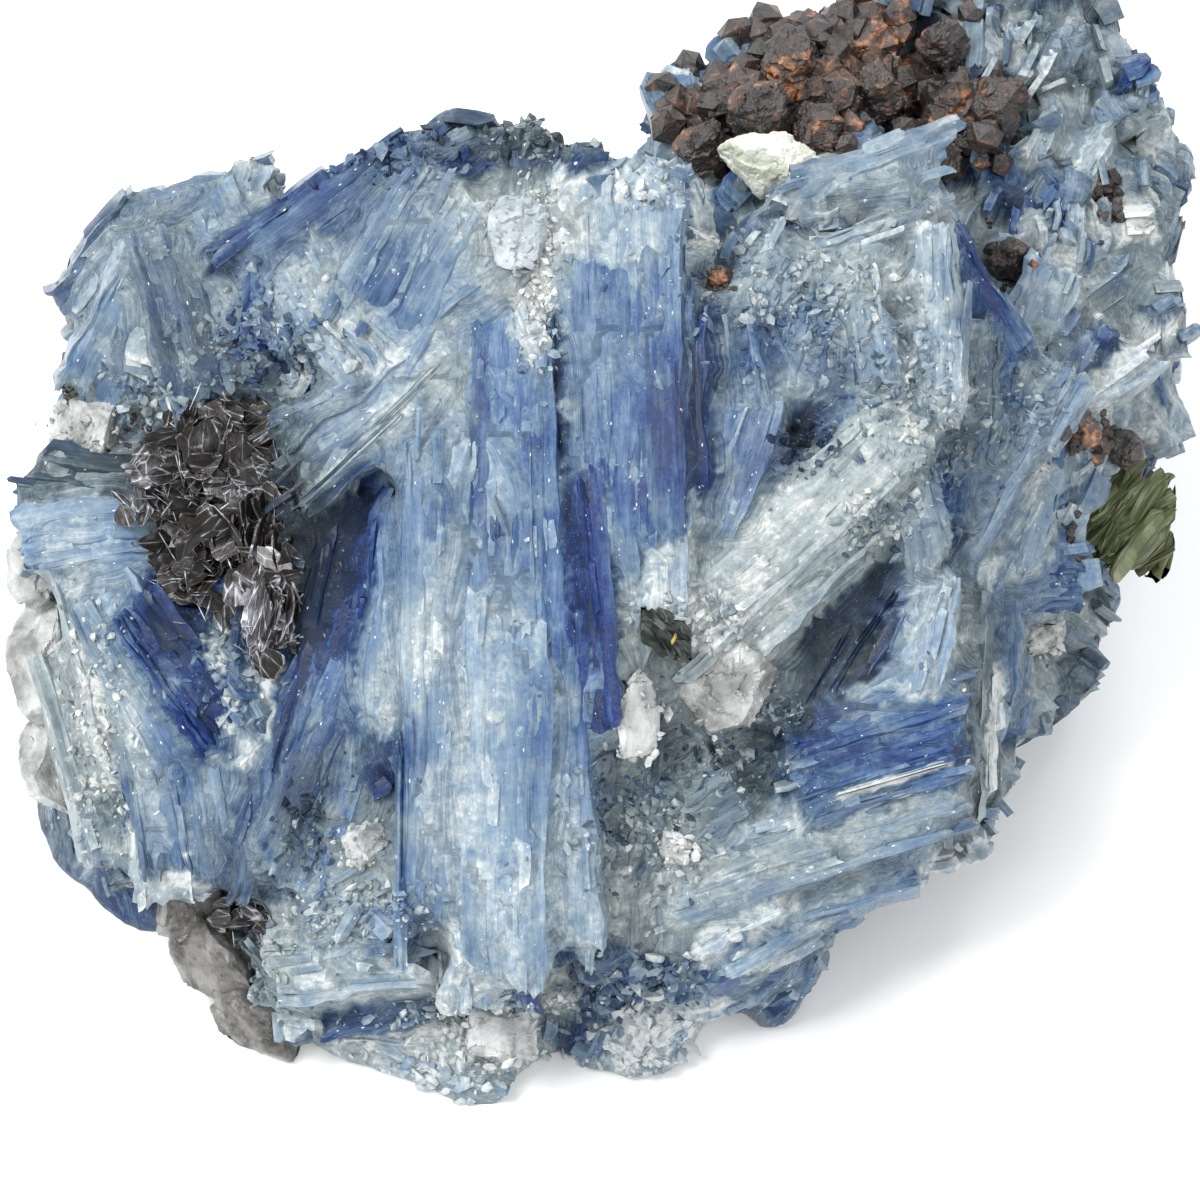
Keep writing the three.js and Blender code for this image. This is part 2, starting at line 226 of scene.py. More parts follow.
zoned = bpy.data.node_groups.new("kyanite zoning", "ShaderNodeTree")
for name, kind in (("Grain", "Vector"), ("Tint", "Vector"), ("Streaks", "Float"), ("Cloud", "Float")):
    zoned.interface.new_socket(name, in_out="INPUT", socket_type=f"NodeSocket{kind}")
for name, kind in (("Colour", "Color"), ("Roughness", "Float"), ("Relief", "Float")):
    zoned.interface.new_socket(name, in_out="OUTPUT", socket_type=f"NodeSocket{kind}")
given = zoned.nodes.new("NodeGroupInput")
grain = given.outputs["Grain"]
place = object_place(zoned)
wide = stretched(zoned, grain, (0.50, 0.10, 1.0), 4.0, 0.60)
bands = stretched(zoned, grain, (2.2, 0.30, 1.0), 4.0, 0.62)
hair = stretched(zoned, grain, (11.0, 0.55, 1.0), 3.0, 0.70)
cloud = stretched(zoned, place, (380, 380, 380), 5.0, 0.62)
grit = stretched(zoned, place, (2400, 2400, 2400), 4.0, 0.70)
parts = new_node(zoned, "ShaderNodeSeparateXYZ", {0: given.outputs["Tint"]}).outputs
streaks = swung(zoned, wide, 1.7, 0.0)
streaks = swung(zoned, bands, 1.05, streaks)
streaks = swung(zoned, hair, 0.8, streaks)
pale = maths(zoned, "MULTIPLY_ADD", streaks, given.outputs["Streaks"], parts[0])
pale = swung(zoned, cloud, given.outputs["Cloud"], pale)
coarse = stretched(zoned, grain, (0.75, 0.28, 1.0), 7.0, 0.72)
mottle = stretched(zoned, place, (700, 700, 700), 6.0, 0.70)
blotch = maths(zoned, "MULTIPLY_ADD", coarse, 0.6, maths(zoned, "MULTIPLY", mottle, 0.4))
patch = risen(zoned, blotch, 0.50, 0.60)
pale = maths(zoned, "MULTIPLY_ADD", patch, 0.12, pale)
worn = maths(zoned, "MULTIPLY", parts[2], maths(zoned, "MULTIPLY_ADD", grit, 1.6, -0.35, clamp=True))
pale = maths(zoned, "MULTIPLY_ADD", worn, 0.28, pale)
frost = risen(zoned, pale, 0.50, 0.85)
pale = swung(zoned, grit, maths(zoned, "MULTIPLY_ADD", frost, 0.5, 0.22), pale, clamp=True)
greyness = swung(zoned, cloud, 1.2, parts[1])
greyness = maths(zoned, "MULTIPLY_ADD", patch, 0.30, greyness)
greyness = swung(zoned, wide, -1.0, greyness, clamp=True)
colour = new_node(
    zoned, "ShaderNodeMix",
    {"Factor": greyness, 6: ramp(zoned, pale, ZONES), 7: ramp(zoned, pale, GREY_ZONES)},
    data_type="RGBA",
).outputs[2]
# Painted glints: tiny white specks drawn out along the grain are mixed into the colour. They stand for
# sparkles of light off small facets.
drawn_out = new_node(zoned, "ShaderNodeMapping", {"Vector": grain, "Scale": (5.5, 1.7, 1.0)}).outputs[0]
painted_glint_cells = new_node(zoned, "ShaderNodeTexVoronoi", {"Vector": drawn_out, "Scale": 1.0}).outputs
glint = new_node(zoned, "ShaderNodeSeparateXYZ", {0: painted_glint_cells["Color"]}).outputs[0]
glint = maths(zoned, "MULTIPLY_ADD", glint, 0.65, -0.475)
glint = maths(zoned, "LESS_THAN", painted_glint_cells["Distance"], glint)
colour = new_node(
    zoned, "ShaderNodeMix", {"Factor": glint, 6: colour, 7: (0.80, 0.83, 0.86, 1)}, data_type="RGBA",
).outputs[2]
relief = maths(zoned, "MULTIPLY_ADD", hair, 0.55, maths(zoned, "MULTIPLY", bands, 0.6))
relief = maths(zoned, "MULTIPLY_ADD", grit, 0.75, relief)
gloss = maths(zoned, "MULTIPLY_ADD", frost, 0.34, 0.24)
new_node(zoned, "NodeGroupOutput", {"Colour": colour, "Roughness": gloss, "Relief": relief})


def kyanite_material(name, streak, cloud_share, relief_mm):
    made, tree, skin = new_material(name)
    zones = new_node(
        tree, "ShaderNodeGroup",
        {"Grain": attribute(tree, "grain"), "Tint": attribute(tree, "tint"), "Streaks": streak,
         "Cloud": cloud_share},
        node_tree=zoned,
    ).outputs
    feed(tree, skin, {"Base Color": zones["Colour"], "Roughness": zones["Roughness"], "IOR": 1.6,
                      "Specular IOR Level": 0.22})
    bumped(tree, skin, zones["Relief"], relief_mm)
    return made


blade_skin = kyanite_material("kyanite blades", 0.40, 0.45, 0.06)
crust_skin = kyanite_material("kyanite crust", 0.12, 0.9, 0.10)

# ---------------------------------------------------------------- the blades
# A blade is one to four flat slabs side by side. Each has cleaved along its length into ridges a
# quarter of a millimetre wide, breaks off at the ends like a comb, and keeps loose flakes on top.
BOX_MARGIN = 0.05 * MM
STEPPED_SHARE = 0.18
SLAB_WIDTH = 2.8


def mesh_object(name, mesh, material, slot, *nodes):
    made = bpy.data.objects.new(name, mesh)
    bpy.context.scene.collection.objects.link(made)
    mesh.materials.clear()
    mesh.materials.append(material)
    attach(made, "root")
    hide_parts(*nodes)
    return made


def vectors_of(items, field):
    flat = np.empty(len(items) * 3, np.float32)
    items.foreach_get(field, flat)
    return flat.reshape(-1, 3).astype(float)


def points_of(mesh):
    return vectors_of(mesh.vertices, "co")


def write_attribute(mesh, name, values):
    made = mesh.attributes.new(name, "FLOAT_VECTOR", "POINT")
    made.data.foreach_set("vector", np.asarray(values, np.float32).ravel())


def inside_box(points):
    """Groups of points, each moved as one to lie inside the solid's own box, all but its floor."""
    low, high = np.array(cad_box[0]) + BOX_MARGIN, np.array(cad_box[1]) - BOX_MARGIN
    beyond = np.maximum(points.max(1) - high, 0) - np.maximum(low - points.min(1), 0) * (1, 1, 0)
    return points - beyond[:, None]


def corners_and_triangles(bm):
    """A template's corners, and its triangles put in an order that is the same in every run."""
    corners = np.array([v.co for v in bm.verts])
    triangles = np.array([[v.index for v in f.verts] for f in bm.faces])
    bm.free()
    return corners, triangles[np.lexsort(np.sort(triangles, 1).T)]


def slab_template(columns, rows):
    """A closed slab along Y, one unit each way, with a grid for its top at Z = 0."""
    bm = bmesh.new()
    bmesh.ops.create_grid(bm, x_segments=columns, y_segments=rows, size=0.5)
    rim = [e for e in bm.edges if e.is_boundary]
    skirt = bmesh.ops.extrude_edge_only(bm, edges=rim)["geom"]
    low = [g for g in skirt if isinstance(g, bmesh.types.BMVert)]
    bmesh.ops.translate(bm, verts=low, vec=(0, 0, -1))
    bmesh.ops.edgeloop_fill(bm, edges=[e for e in bm.edges if e.is_boundary])
    bmesh.ops.recalc_face_normals(bm, faces=bm.faces)
    bmesh.ops.triangulate(bm, faces=bm.faces)
    corners, triangles = corners_and_triangles(bm)
    column = np.rint((corners[:, 0] + 0.5) * columns).astype(int)
    row = np.rint((corners[:, 1] + 0.5) * rows).astype(int)
    return corners, triangles, column, row, columns, rows


broad_slab = slab_template(12, 14)
small_slab = slab_template(5, 6)
splinter_slab = slab_template(2, 3)


def marks(gaps):
    """Marks from -0.5 to 0.5 along each row, spaced in the proportions given."""
    reached = np.concatenate([np.zeros((len(gaps), 1)), np.cumsum(gaps, 1)], 1)
    return reached / reached[:, -1:] - 0.5


def laid_out(points, triangles, grain, tint):
    """Many copies of one shape as flat arrays, end to end."""
    copies, corners = points.shape[:2]
    faces = triangles[None] + (np.arange(copies) * corners)[:, None, None]
    return points.reshape(-1, 3), faces.reshape(-1, 3), grain.reshape(-1, 3), tint.reshape(-1, 3)


def slabs(rng, shape, centres, turns, sizes, tints, step=0.10, comb=0.08, dive=1.0, grain_start=None):
    """Points, triangles and attributes of many slabs. Sizes (width, length, depth) are in
    millimetres; step is how far one ridge stands above the next. Slabs of one blade share a
    grain_start, so that its colour runs on from one to the next."""
    corners, triangles, column, row, columns, rows = shape
    n, m = len(centres), len(corners)
    width, length, depth = (sizes[:, k:k + 1] for k in range(3))
    # Ridges run along the slab. Its rows crowd together towards both ends.
    edges = marks(rng.uniform(0.25, 1.75, (n, columns)))
    crowded = 0.16 + np.sin(np.pi * (np.arange(rows) + 0.5) / rows)
    spread = marks(rng.uniform(0.6, 1.4, (n, rows)) * crowded)
    across, along = edges[:, column], spread[:, row]
    end = np.clip(np.abs(along) * 2, 0, 1) ** 8
    # Each ridge breaks off at a place of its own, like the teeth of a comb.
    teeth = rng.normal(0, comb * 0.45, (n, columns + 1, 2))
    reach = np.cumsum(teeth, 1) + rng.normal(0, comb * 0.5, (n, columns + 1, 2))
    reach = reach - reach.mean(1, keepdims=True) + rng.normal(0, comb * 0.5, (n, 1, 2))
    reach = reach[:, column, 0] * (along > 0) + reach[:, column, 1] * (along < 0)
    slant = rng.normal(0, 0.35, (n, 1)) * across
    # Ridges stand at their own heights, with a step wherever one has flaked.
    heights = rng.normal(0, 0.6 * step, (n, columns + 1, 1))
    broken = rng.normal(0, 1.7 * step, (n, columns + 1, rows + 1))
    broken = broken * (rng.random((n, columns + 1, rows + 1)) < STEPPED_SHARE)
    heights = heights + np.cumsum(broken, 2) - 0.5 * broken.sum(2, keepdims=True)
    heights = heights[:, column, row]
    top = corners[:, 2] > -0.5
    side = np.clip(np.abs(across) * 2, 0, 1) ** 6
    # The sides wander, and the slab narrows a little at its ends.
    x = across * width * (1 - 0.16 * end * rng.uniform(0, 1, (n, 1)))
    x = x + rng.normal(0, 0.012, (n, m)) * width
    wander = np.cumsum(rng.normal(0, 0.05, (n, rows + 1)) * np.append(crowded, crowded[-1]), 1)
    x = x + np.minimum(width, 2.0) * (wander - wander.mean(1, keepdims=True))[:, row] * (0.4 + side)
    y = along * length + (reach + slant) * width * end
    y = y + rng.normal(0, 0.25, (n, m)) * length / rows * (1 - end) * 0.5
    # Both ends dive into the stone.
    from_end = np.clip(1 - (0.5 - np.abs(along)) * length / rng.uniform(0.5, 1.8, (n, 1)), 0, 1)
    upper, lower = rng.uniform(0.2, 1, (2, n, 1))
    plunge = from_end ** 1.6 * np.where(along > 0, upper, lower) * dive
    z = np.where(top, heights - 1.1 * side * step - plunge, -depth)
    points = inside_box(centres[:, None] + np.einsum("nij,nmj->nmi", turns, np.stack([x, y, z], -1) * MM))
    if grain_start is None:
        grain_start = rng.uniform(0, 90, (n, 3))
    grain = np.stack([x, y, np.zeros_like(x)], -1) + grain_start[:, None]
    worn = np.clip(tints[:, 2:3] + 0.7 * end + 0.2 * side, 0, 1.4)
    low = np.repeat(tints[:, 0:1], m, 1) + 0.5 * np.clip(heights, -0.3, 0.3)
    tint = np.stack([low, np.repeat(tints[:, 1:2], m, 1), worn], -1)
    return laid_out(points, triangles, grain, tint)


def one_set(points, faces):
    """The points and faces of several shapes as one shape's."""
    shifts = np.cumsum([0] + [len(p) for p in points[:-1]])
    return np.concatenate(points), np.concatenate([f + shift for f, shift in zip(faces, shifts)])


def joined(batches):
    """All the batches' arrays as one set, with nothing below the floor."""
    points, faces, grain, tint = zip(*batches)
    points, faces = one_set(points, faces)
    points[:, 2] = np.maximum(points[:, 2], 0.0)
    return points, faces, np.concatenate(grain), np.concatenate(tint)


def mesh_from(name, arrays):
    points, faces, grain, tint = arrays
    mesh = bpy.data.meshes.new(name)
    mesh.vertices.add(len(points))
    mesh.vertices.foreach_set("co", points.astype(np.float32).ravel())
    mesh.loops.add(len(faces) * 3)
    mesh.loops.foreach_set("vertex_index", faces.astype(np.int32).ravel())
    mesh.polygons.add(len(faces))
    mesh.polygons.foreach_set("loop_start", np.arange(0, len(faces) * 3, 3, dtype=np.int32))
    mesh.polygons.foreach_set("use_smooth", np.ones(len(faces), bool))
    mesh.update(calc_edges=True)
    mesh.set_sharp_from_angle(angle=radians(32))
    write_attribute(mesh, "grain", grain)
    write_attribute(mesh, "tint", tint)
    return mesh


def local_turns(heading, tilt, roll):
    """Small turns about a blade's own Z, X and Y, in degrees."""
    h, t, r = (np.radians(a) for a in (heading, tilt, roll))
    one = np.ones_like(h)
    return np.stack([
        np.stack([one, -h, r], 1), np.stack([h, one, -t], 1), np.stack([-r, t, one], 1),
    ], 1)


def sheaf(rng, centre, turn, length, width, pale, grey, step, deep=2.6):
    """One blade: its slabs, the narrow ones down its sides, and the flakes on top."""
    start = rng.uniform(0, 90, 3)

    def batch(shape, offsets, sizes, tints, wobble, **shaping):
        turned = turn[None] @ local_turns(*wobble)
        places = centre + (offsets * MM) @ turn.T
        grain_start = start + offsets * (1, 1, 0)
        return slabs(rng, shape, places, turned, sizes, tints, grain_start=grain_start, **shaping)

    # The slabs, side by side.
    count = max(1, int(round(width / SLAB_WIDTH)))
    shares = rng.uniform(0.6, 1.4, count)
    widths = shares / shares.sum() * width
    middles = np.cumsum(widths) - widths / 2 - width / 2
    lengths = length * rng.uniform(0.88, 1.03, count)
    offsets = np.stack([middles, rng.uniform(-0.5, 0.5, count) * (length * 1.03 - lengths),
                        -rng.uniform(0, 2.0, count) * step], 1)
    sizes = np.stack([widths * 1.08, lengths, np.full(count, deep)], 1)
    tints = np.stack([pale + rng.normal(0, 0.03, count), grey + rng.normal(0, 0.04, count),
                      np.zeros(count)], 1)
    wobble = (rng.normal(0, 0.6, count), rng.normal(0, 0.4, count), rng.normal(0, 25, count) * step)
    out = [batch(broad_slab, offsets, sizes, tints, wobble, step=step)]

    # Narrow ones down both sides.
    narrow = max(2, int(width * length / 13 * (0.4 + 9 * step)))
    side = rng.choice([-1, 1], narrow) * width * rng.uniform(0.40, 0.56, narrow)
    offsets = np.stack([side, rng.uniform(-0.46, 0.46, narrow) * length,
                        -rng.uniform(0.1, 1.2, narrow)], 1)
    sizes = np.stack([rng.uniform(0.3, 1.0, narrow), rng.uniform(0.18, 0.55, narrow) * length,
                      np.full(narrow, deep * 0.7)], 1)
    tints = np.stack([pale + rng.normal(-0.05, 0.09, narrow), np.full(narrow, grey + 0.04),
                      rng.uniform(0, 0.4, narrow)], 1)
    wobble = (rng.normal(0, 2.0, narrow), rng.normal(0, 1.4, narrow), rng.normal(0, 8, narrow))
    out.append(batch(small_slab, offsets, sizes, tints, wobble, step=0.06, comb=0.2))

    # Loose flakes on top.
    flakes = int(width * length / 3.2 * (0.4 + 8 * step))
    offsets = np.stack([rng.uniform(-0.47, 0.47, flakes) * width,
                        rng.uniform(-0.49, 0.49, flakes) * length, rng.uniform(0.0, 0.13, flakes)], 1)
    sizes = np.stack([rng.uniform(0.12, 0.60, flakes), rng.uniform(0.4, 2.6, flakes),
                      rng.uniform(0.15, 0.35, flakes)], 1)
    tints = np.stack([pale + rng.normal(0.03, 0.07, flakes), np.full(flakes, grey),
                      rng.uniform(0, 0.3, flakes)], 1)
    wobble = (rng.normal(0, 2.0, flakes), rng.normal(0, 1.6, flakes), rng.normal(0, 6, flakes))
    out.append(batch(splinter_slab, offsets, sizes, tints, wobble, step=0.02, comb=0.4, dive=0.1))
    return out


# How proud the ridges of each group stand, in millimetres.
RIDGES = {
    "spine": 0.035, "broad blade": 0.030, "upper left face": 0.055, "left shoulder": 0.045,
    "left rim": 0.065, "left fan": 0.055, "lower left": 0.060, "right face": 0.060,
    "diagonal blade": 0.070, "dark fan": 0.080, "lower right": 0.065, "foot": 0.080,
    "right columns": 0.080, "right slope": 0.060,
}
# u, v, w of the middle of the top, length, width, heading, paleness, greyness, tilt, roll.
BLADES = {
    "spine": (
        (-7.5, -3.6, -0.3, 25.2, 4.5, 88, 0.52, 0.12, 0, 9),
        (-4.3, 5, 0.0, 18, 4.5, 91, 0.44, 0.08, 0, -4),
        (-4.7, -9.8, 0.1, 18.6, 3.9, 90, 0.53, 0.10, 2, 0),
        (-2.5, -8.8, -0.6, 16.4, 4, 90, 0.50, 0.12, 2, -8),
        (-0.9, -0.6, -0.5, 13.5, 3.0, 96, 0.17, 0, 0, -6),
        (-3.2, 11.3, -0.1, 6.5, 1.1, 108, 0.72, 0.2, 0, 0),
        (-6.3, -19.0, -1.6, 4, 2.6, 90, 0.6, 0.1, 8, 0), (-4.2, -18.6, -2.2, 4, 1.6, 90, 0.10, 0.1, 8, 0),
        (-1.4, -15.7, -2.0, 5, 1.6, 90, 0.10, 0.1, 5, 0), (-10, -2, -2.2, 10, 3, 85, 0.72, 0.1, 0, 8),
        (-8.6, 1, -0.9, 12, 2.6, 86, 0.52, 0.1, 0, 10),
        (-2.3, 10.5, -0.15, 9.0, 0.45, 95, 0.06, 0.4, 0, 0),
    ),
    "broad blade": (
        (0.7, 17.5, -0.8, 9, 6, 91, 0.62, 0.12, -2, -4), (0.9, 9.5, -0.5, 16, 6.3, 90, 0.42, 0.05, 0, -4),
        (1.8, 2, -1.0, 9, 5, 89, 0.62, 0.10, 0, -6), (4.3, 9.6, -0.8, 10, 1.9, 90, 0.08, 0.15, 0, -8),
        (-3, 21.5, -1.6, 4, 2.2, 90, 0.12, 0.3, 0, 0), (6.4, 6.5, -1.7, 7.5, 3.2, 70, 0.54, 0.3, 0, -5),
    ),
    "upper left face": (
        (-8.5, 16.7, -1.0, 9, 7, 60, 0.52, 0.15, 0, 6), (-10.8, 9.2, -1.2, 13.5, 3, 41, 0.60, 0.4, 0, 4),
        (-10.8, 13.2, -1.6, 4.4, 2.4, -38, 0.76, 0.1, 0, 0),
        (-13.3, 14, -2.3, 8.5, 3.5, -55, 0.66, 0.3, 0, 6),
        (-13.5, 9.2, -2.7, 7, 2.6, 28, 0.60, 0.1, 0, 6),
        (-13.0, 19.4, -3.0, 10, 4.5, 35, 0.36, 0.2, 0, 8),
        (-12.2, 7.4, -0.9, 7.6, 0.4, 43, 0.86, 0.3, 0, 4),
        (-9.6, 10.4, -0.8, 7.0, 0.35, 45, 0.84, 0.3, 0, 4), (-8.4, 21, -1.8, 5, 1.3, 40, 0.10, 0.1, 0, 0),
        (-6.5, 22, -3.0, 6, 2.5, 15, 0.3, 0.4, 0, 8),
    ),
    "left shoulder": (
        (-20.4, 14.8, -5.2, 9.6, 5.4, 106, 0.47, 0.35, 4, 12),
        (-24.9, 14.0, -7.2, 8.0, 3.4, 62, 0.50, 0.35, 6, 18),
        (-18.9, 18.7, -5, 5, 2.5, 112, 0.5, 0.3, 0, 6), (-16.5, 15.7, -3.8, 5, 3, 60, 0.34, 0.1, 0, 8),
        (-18.5, 21.2, -6.2, 3, 2, 80, 0.55, 0.7, 10, 0),
        (-25.5, 17.8, -9.4, 8, 3.4, 46, 0.45, 0.40, 6, 22),
        (-20.4, 20.4, -8.0, 7, 3.2, 12, 0.42, 0.35, 8, 10),
    ),
    "left rim": (
        (-27.0, 3.5, -7.0, 7.4, 3.2, 8, 0.56, 0.1, 0, -4), (-26.5, 6.5, -8, 7, 2.8, -8, 0.2, 0.7, 0, 0),
        (-26.2, -3.5, -7.8, 12, 2.2, 109, 0.66, 0.2, 0, 14),
        (-24, -3, -6.7, 11, 4, 118, 0.42, 0.05, 0, 6), (-22, -3.5, -6.2, 9, 3, 127, 0.20, 0.05, 0, 4),
        (-22.5, -9.6, -7.2, 10, 4, 97, 0.42, 0.1, 0, 8),
        (-22.6, -14.2, -7.6, 4, 3.6, 97, 0.72, 0.3, 10, 0),
        (-26.8, -9, -10.6, 13, 3, 106, 0.55, 0.3, 0, 20),
        (-19.6, -7.6, -7.0, 8, 2.4, 100, 0.45, 0.3, 0, 0),
        (-18.6, -5.4, -6.2, 4.6, 0.9, 52, 0.86, 0.5, 4, 8),
        (-17.6, -4.6, -6.0, 4.0, 0.7, 57, 0.92, 0.5, 6, -6),
        (-17.0, -6.2, -6.0, 4.2, 0.8, 50, 0.80, 0.4, 0, 0),
        (-19.4, -3.2, -6.4, 3.0, 0.7, 152, 0.90, 0.6, 4, 0),
        (-18.2, -2.4, -6.2, 3.0, 0.6, 146, 0.92, 0.6, 0, 8),
    ),
    "left fan": (
        (-12.5, 1.5, -3.6, 8.5, 4.5, 75, 0.11, 0.05, 0, 8),
        (-14.5, -4.5, -4.0, 10, 2, 70, 0.10, 0.1, 0, 6), (-13.7, -8.5, -3.5, 13, 4, 68, 0.42, 0.1, 0, 8),
        (-11.2, -9, -4.2, 7, 2.6, 50, 0.12, 0.3, 0, 0),
        (-16.6, -11.5, -5.4, 9, 2.6, 74, 0.34, 0.2, 0, 12),
    ),
    "lower left": (
        (-11.5, -14.5, -4.0, 8.5, 3.6, 32, 0.52, 0.4, 0, 4),
        (-9.2, -14.5, -3.2, 3.5, 2.2, 40, 0.78, 0.1, 0, 0),
        (-11.5, -18.5, -4.4, 9.5, 3.2, 6, 0.62, 0.2, 0, -4),
        (-9.5, -16.7, -3.8, 5, 2, 15, 0.40, 0.1, 0, 0), (-11, -21.2, -6.2, 6, 1.8, 15, 0.15, 0.2, 0, -8),
        (-10, -23.7, -8.2, 9.5, 1.3, -20, 0.75, 0.3, 0, -6),
        (-11, -22.8, -7.5, 6, 1, -8, 0.75, 0.3, 0, 0), (-6, -24.0, -8.2, 4.5, 1.2, 25, 0.70, 0.3, 0, 0),
        (-14.6, -20, -6.4, 6, 2.6, -12, 0.6, 0.3, 0, 0),
    ),
    "right face": (
        (13.8, 20.5, -6.8, 9.4, 5.2, 18, 0.46, 0.30, 6, 14),
        (17.2, 14.5, -3.2, 11, 1.8, 92, 0.64, 0.4, 0, -14),
        (10.4, 12.6, -2.9, 5.5, 2.4, 75, 0.45, 0.3, 0, 0),
        (13.6, 13.4, -2.9, 6.0, 2.2, 98, 0.50, 0.45, 0, -4),
        (8.4, 16.2, -2.9, 5.0, 2.6, 60, 0.50, 0.35, 0, 4),
        (12.0, 17.0, -3.4, 6.0, 2.6, 20, 0.52, 0.45, 6, 0),
        (15.4, 17.0, -3.6, 4.5, 2.2, 50, 0.45, 0.5, 0, 0),
        (7.6, 11.5, -2.4, 5.0, 1.8, 100, 0.35, 0.2, 0, 0),
        (10.8, 8.8, -3.4, 4.4, 1.6, 70, 0.12, 0.3, 0, 0),
        (13.2, 8.6, -3.3, 4.6, 1.8, 120, 0.30, 0.3, 0, 0),
        (15.6, 9.4, -3.4, 4.6, 1.8, 60, 0.46, 0.4, 0, -6),
        (9.9, 8.3, -3.3, 3.4, 1.1, 68, 0.08, 0.5, 0, 6),
        (11.4, 7.2, -3.4, 2.8, 1.05, 112, 0.14, 0.6, 0, -8),
    ),
    "diagonal blade": (
        (9.5, 3.5, -1.8, 17, 3.8, 41, 0.64, 0.85, 0, -4),
        (10.5, 1.2, -2.6, 10, 2.4, 40, 0.60, 0.75, 0, -8), (16.2, 5, -3.2, 6, 2.4, 105, 0.5, 0.6, 0, 0),
    ),
    "dark fan": (
        (12.2, -3.5, -4.2, 8.5, 3.6, 58, 0.10, 0.4, 0, -4), (15.2, 1, -4.6, 8, 2, 52, 0.08, 0.3, 0, -6),
        (16.8, -2.2, -3.7, 6.5, 1.9, 78, 0.64, 0.2, 0, -6),
        (15.9, -1.2, -4.0, 4.0, 1.1, 70, 0.60, 0.2, 0, -4), (14.5, -5, -3.9, 4.5, 2, 35, 0.70, 0.2, 0, 0),
        (13.6, 1.2, -4.6, 6, 1.6, 60, 0.14, 0.4, 0, 0),
        (12.9, -3.0, -3.9, 6.6, 0.4, 58, 0.34, 0.4, 0, -4),
        (11.6, -3.6, -3.9, 6.0, 0.35, 59, 0.30, 0.4, 0, -4),
        (13.9, -1.6, -4.1, 6.4, 0.35, 56, 0.32, 0.4, 0, -4),
    ),
    "lower right": (
        (2.2, -15.3, -4.6, 5, 4, 90, 0.45, 0.7, 0, 0), (10, -13, -4.4, 17, 3.2, 20, 0.50, 0.35, 0, -8),
        (14.6, -9.2, -3.3, 7.4, 0.4, 17, 0.86, 0.3, 0, -4),
        (13.4, -10.3, -3.6, 6.8, 0.35, 14, 0.84, 0.3, 0, -4),
        (14.2, -8.3, -3.6, 9.5, 4.2, 17, 0.22, 0, 0, -4), (14.5, -6, -3.8, 8.5, 2.2, 18, 0.34, 0.1, 0, 0),
        (13, -11.2, -4.2, 11.5, 2.2, 15, 0.50, 0.2, 0, -8),
        (7.2, -16.2, -5.0, 6.5, 2, 25, 0.74, 0.15, 0, -10),
        (12, -15.2, -6.4, 10, 1.8, 16, 0.40, 0.2, 0, -14),
        (15, -14.2, -7.6, 5.5, 1.4, 12, 0.70, 0.1, 0, -14),
        (1.6, -11.4, -4.2, 6, 3.2, 80, 0.2, 0.6, 0, 0), (5.6, -11.0, -4.3, 5, 2.6, 30, 0.28, 0.6, 0, 0),
    ),
    "foot": (
        (1.5, -19.3, -8.4, 6, 3, 30, 0.15, 0.2, 0, 0), (3.5, -21.3, -9, 4.5, 3, 55, 0.80, 0.2, 0, 0),
        (5.2, -19.4, -8.4, 3.8, 2.4, 70, 0.30, 0.2, 0, -8),
        (0.4, -21.5, -9.2, 4.5, 2, 80, 0.2, 0.4, 0, 0),
    ),
    "right columns": (
        (19, -6, -7.0, 12, 1.8, 88, 0.40, 0.9, 0, -14), (20.2, -7.3, -8.4, 6, 0.9, 88, 0.90, 0.3, 0, -14),
        (18.0, -4.5, -6.0, 9, 1.4, 92, 0.30, 0.8, 0, -8),
    ),
    "right slope": (
        (19.7, 15, -7.0, 7, 3, 120, 0.20, 0, 0, -12), (20.3, 7.5, -8.0, 12, 4, 60, 0.42, 0.1, 0, -10),
        (22, 1.5, -12, 7, 4, 5, 0.25, 0, 0, -8), (21, -2.5, -11, 6, 2.6, 90, 0.42, 0.1, 0, -10),
        (26.8, 12, -12.8, 7, 2.6, 35, 0.66, 0.2, 0, -10), (24, 12, -11.8, 7, 2.6, 60, 0.18, 0, 0, -10),
        (23.6, 16, -12.0, 5, 3, 70, 0.36, 0.1, 0, -10), (19.6, 11.4, -6.8, 6, 2.4, 80, 0.5, 0.4, 0, -14),
        (22.6, 4.6, -10.6, 7, 2.4, 72, 0.5, 0.1, 0, -12),
    ),
}

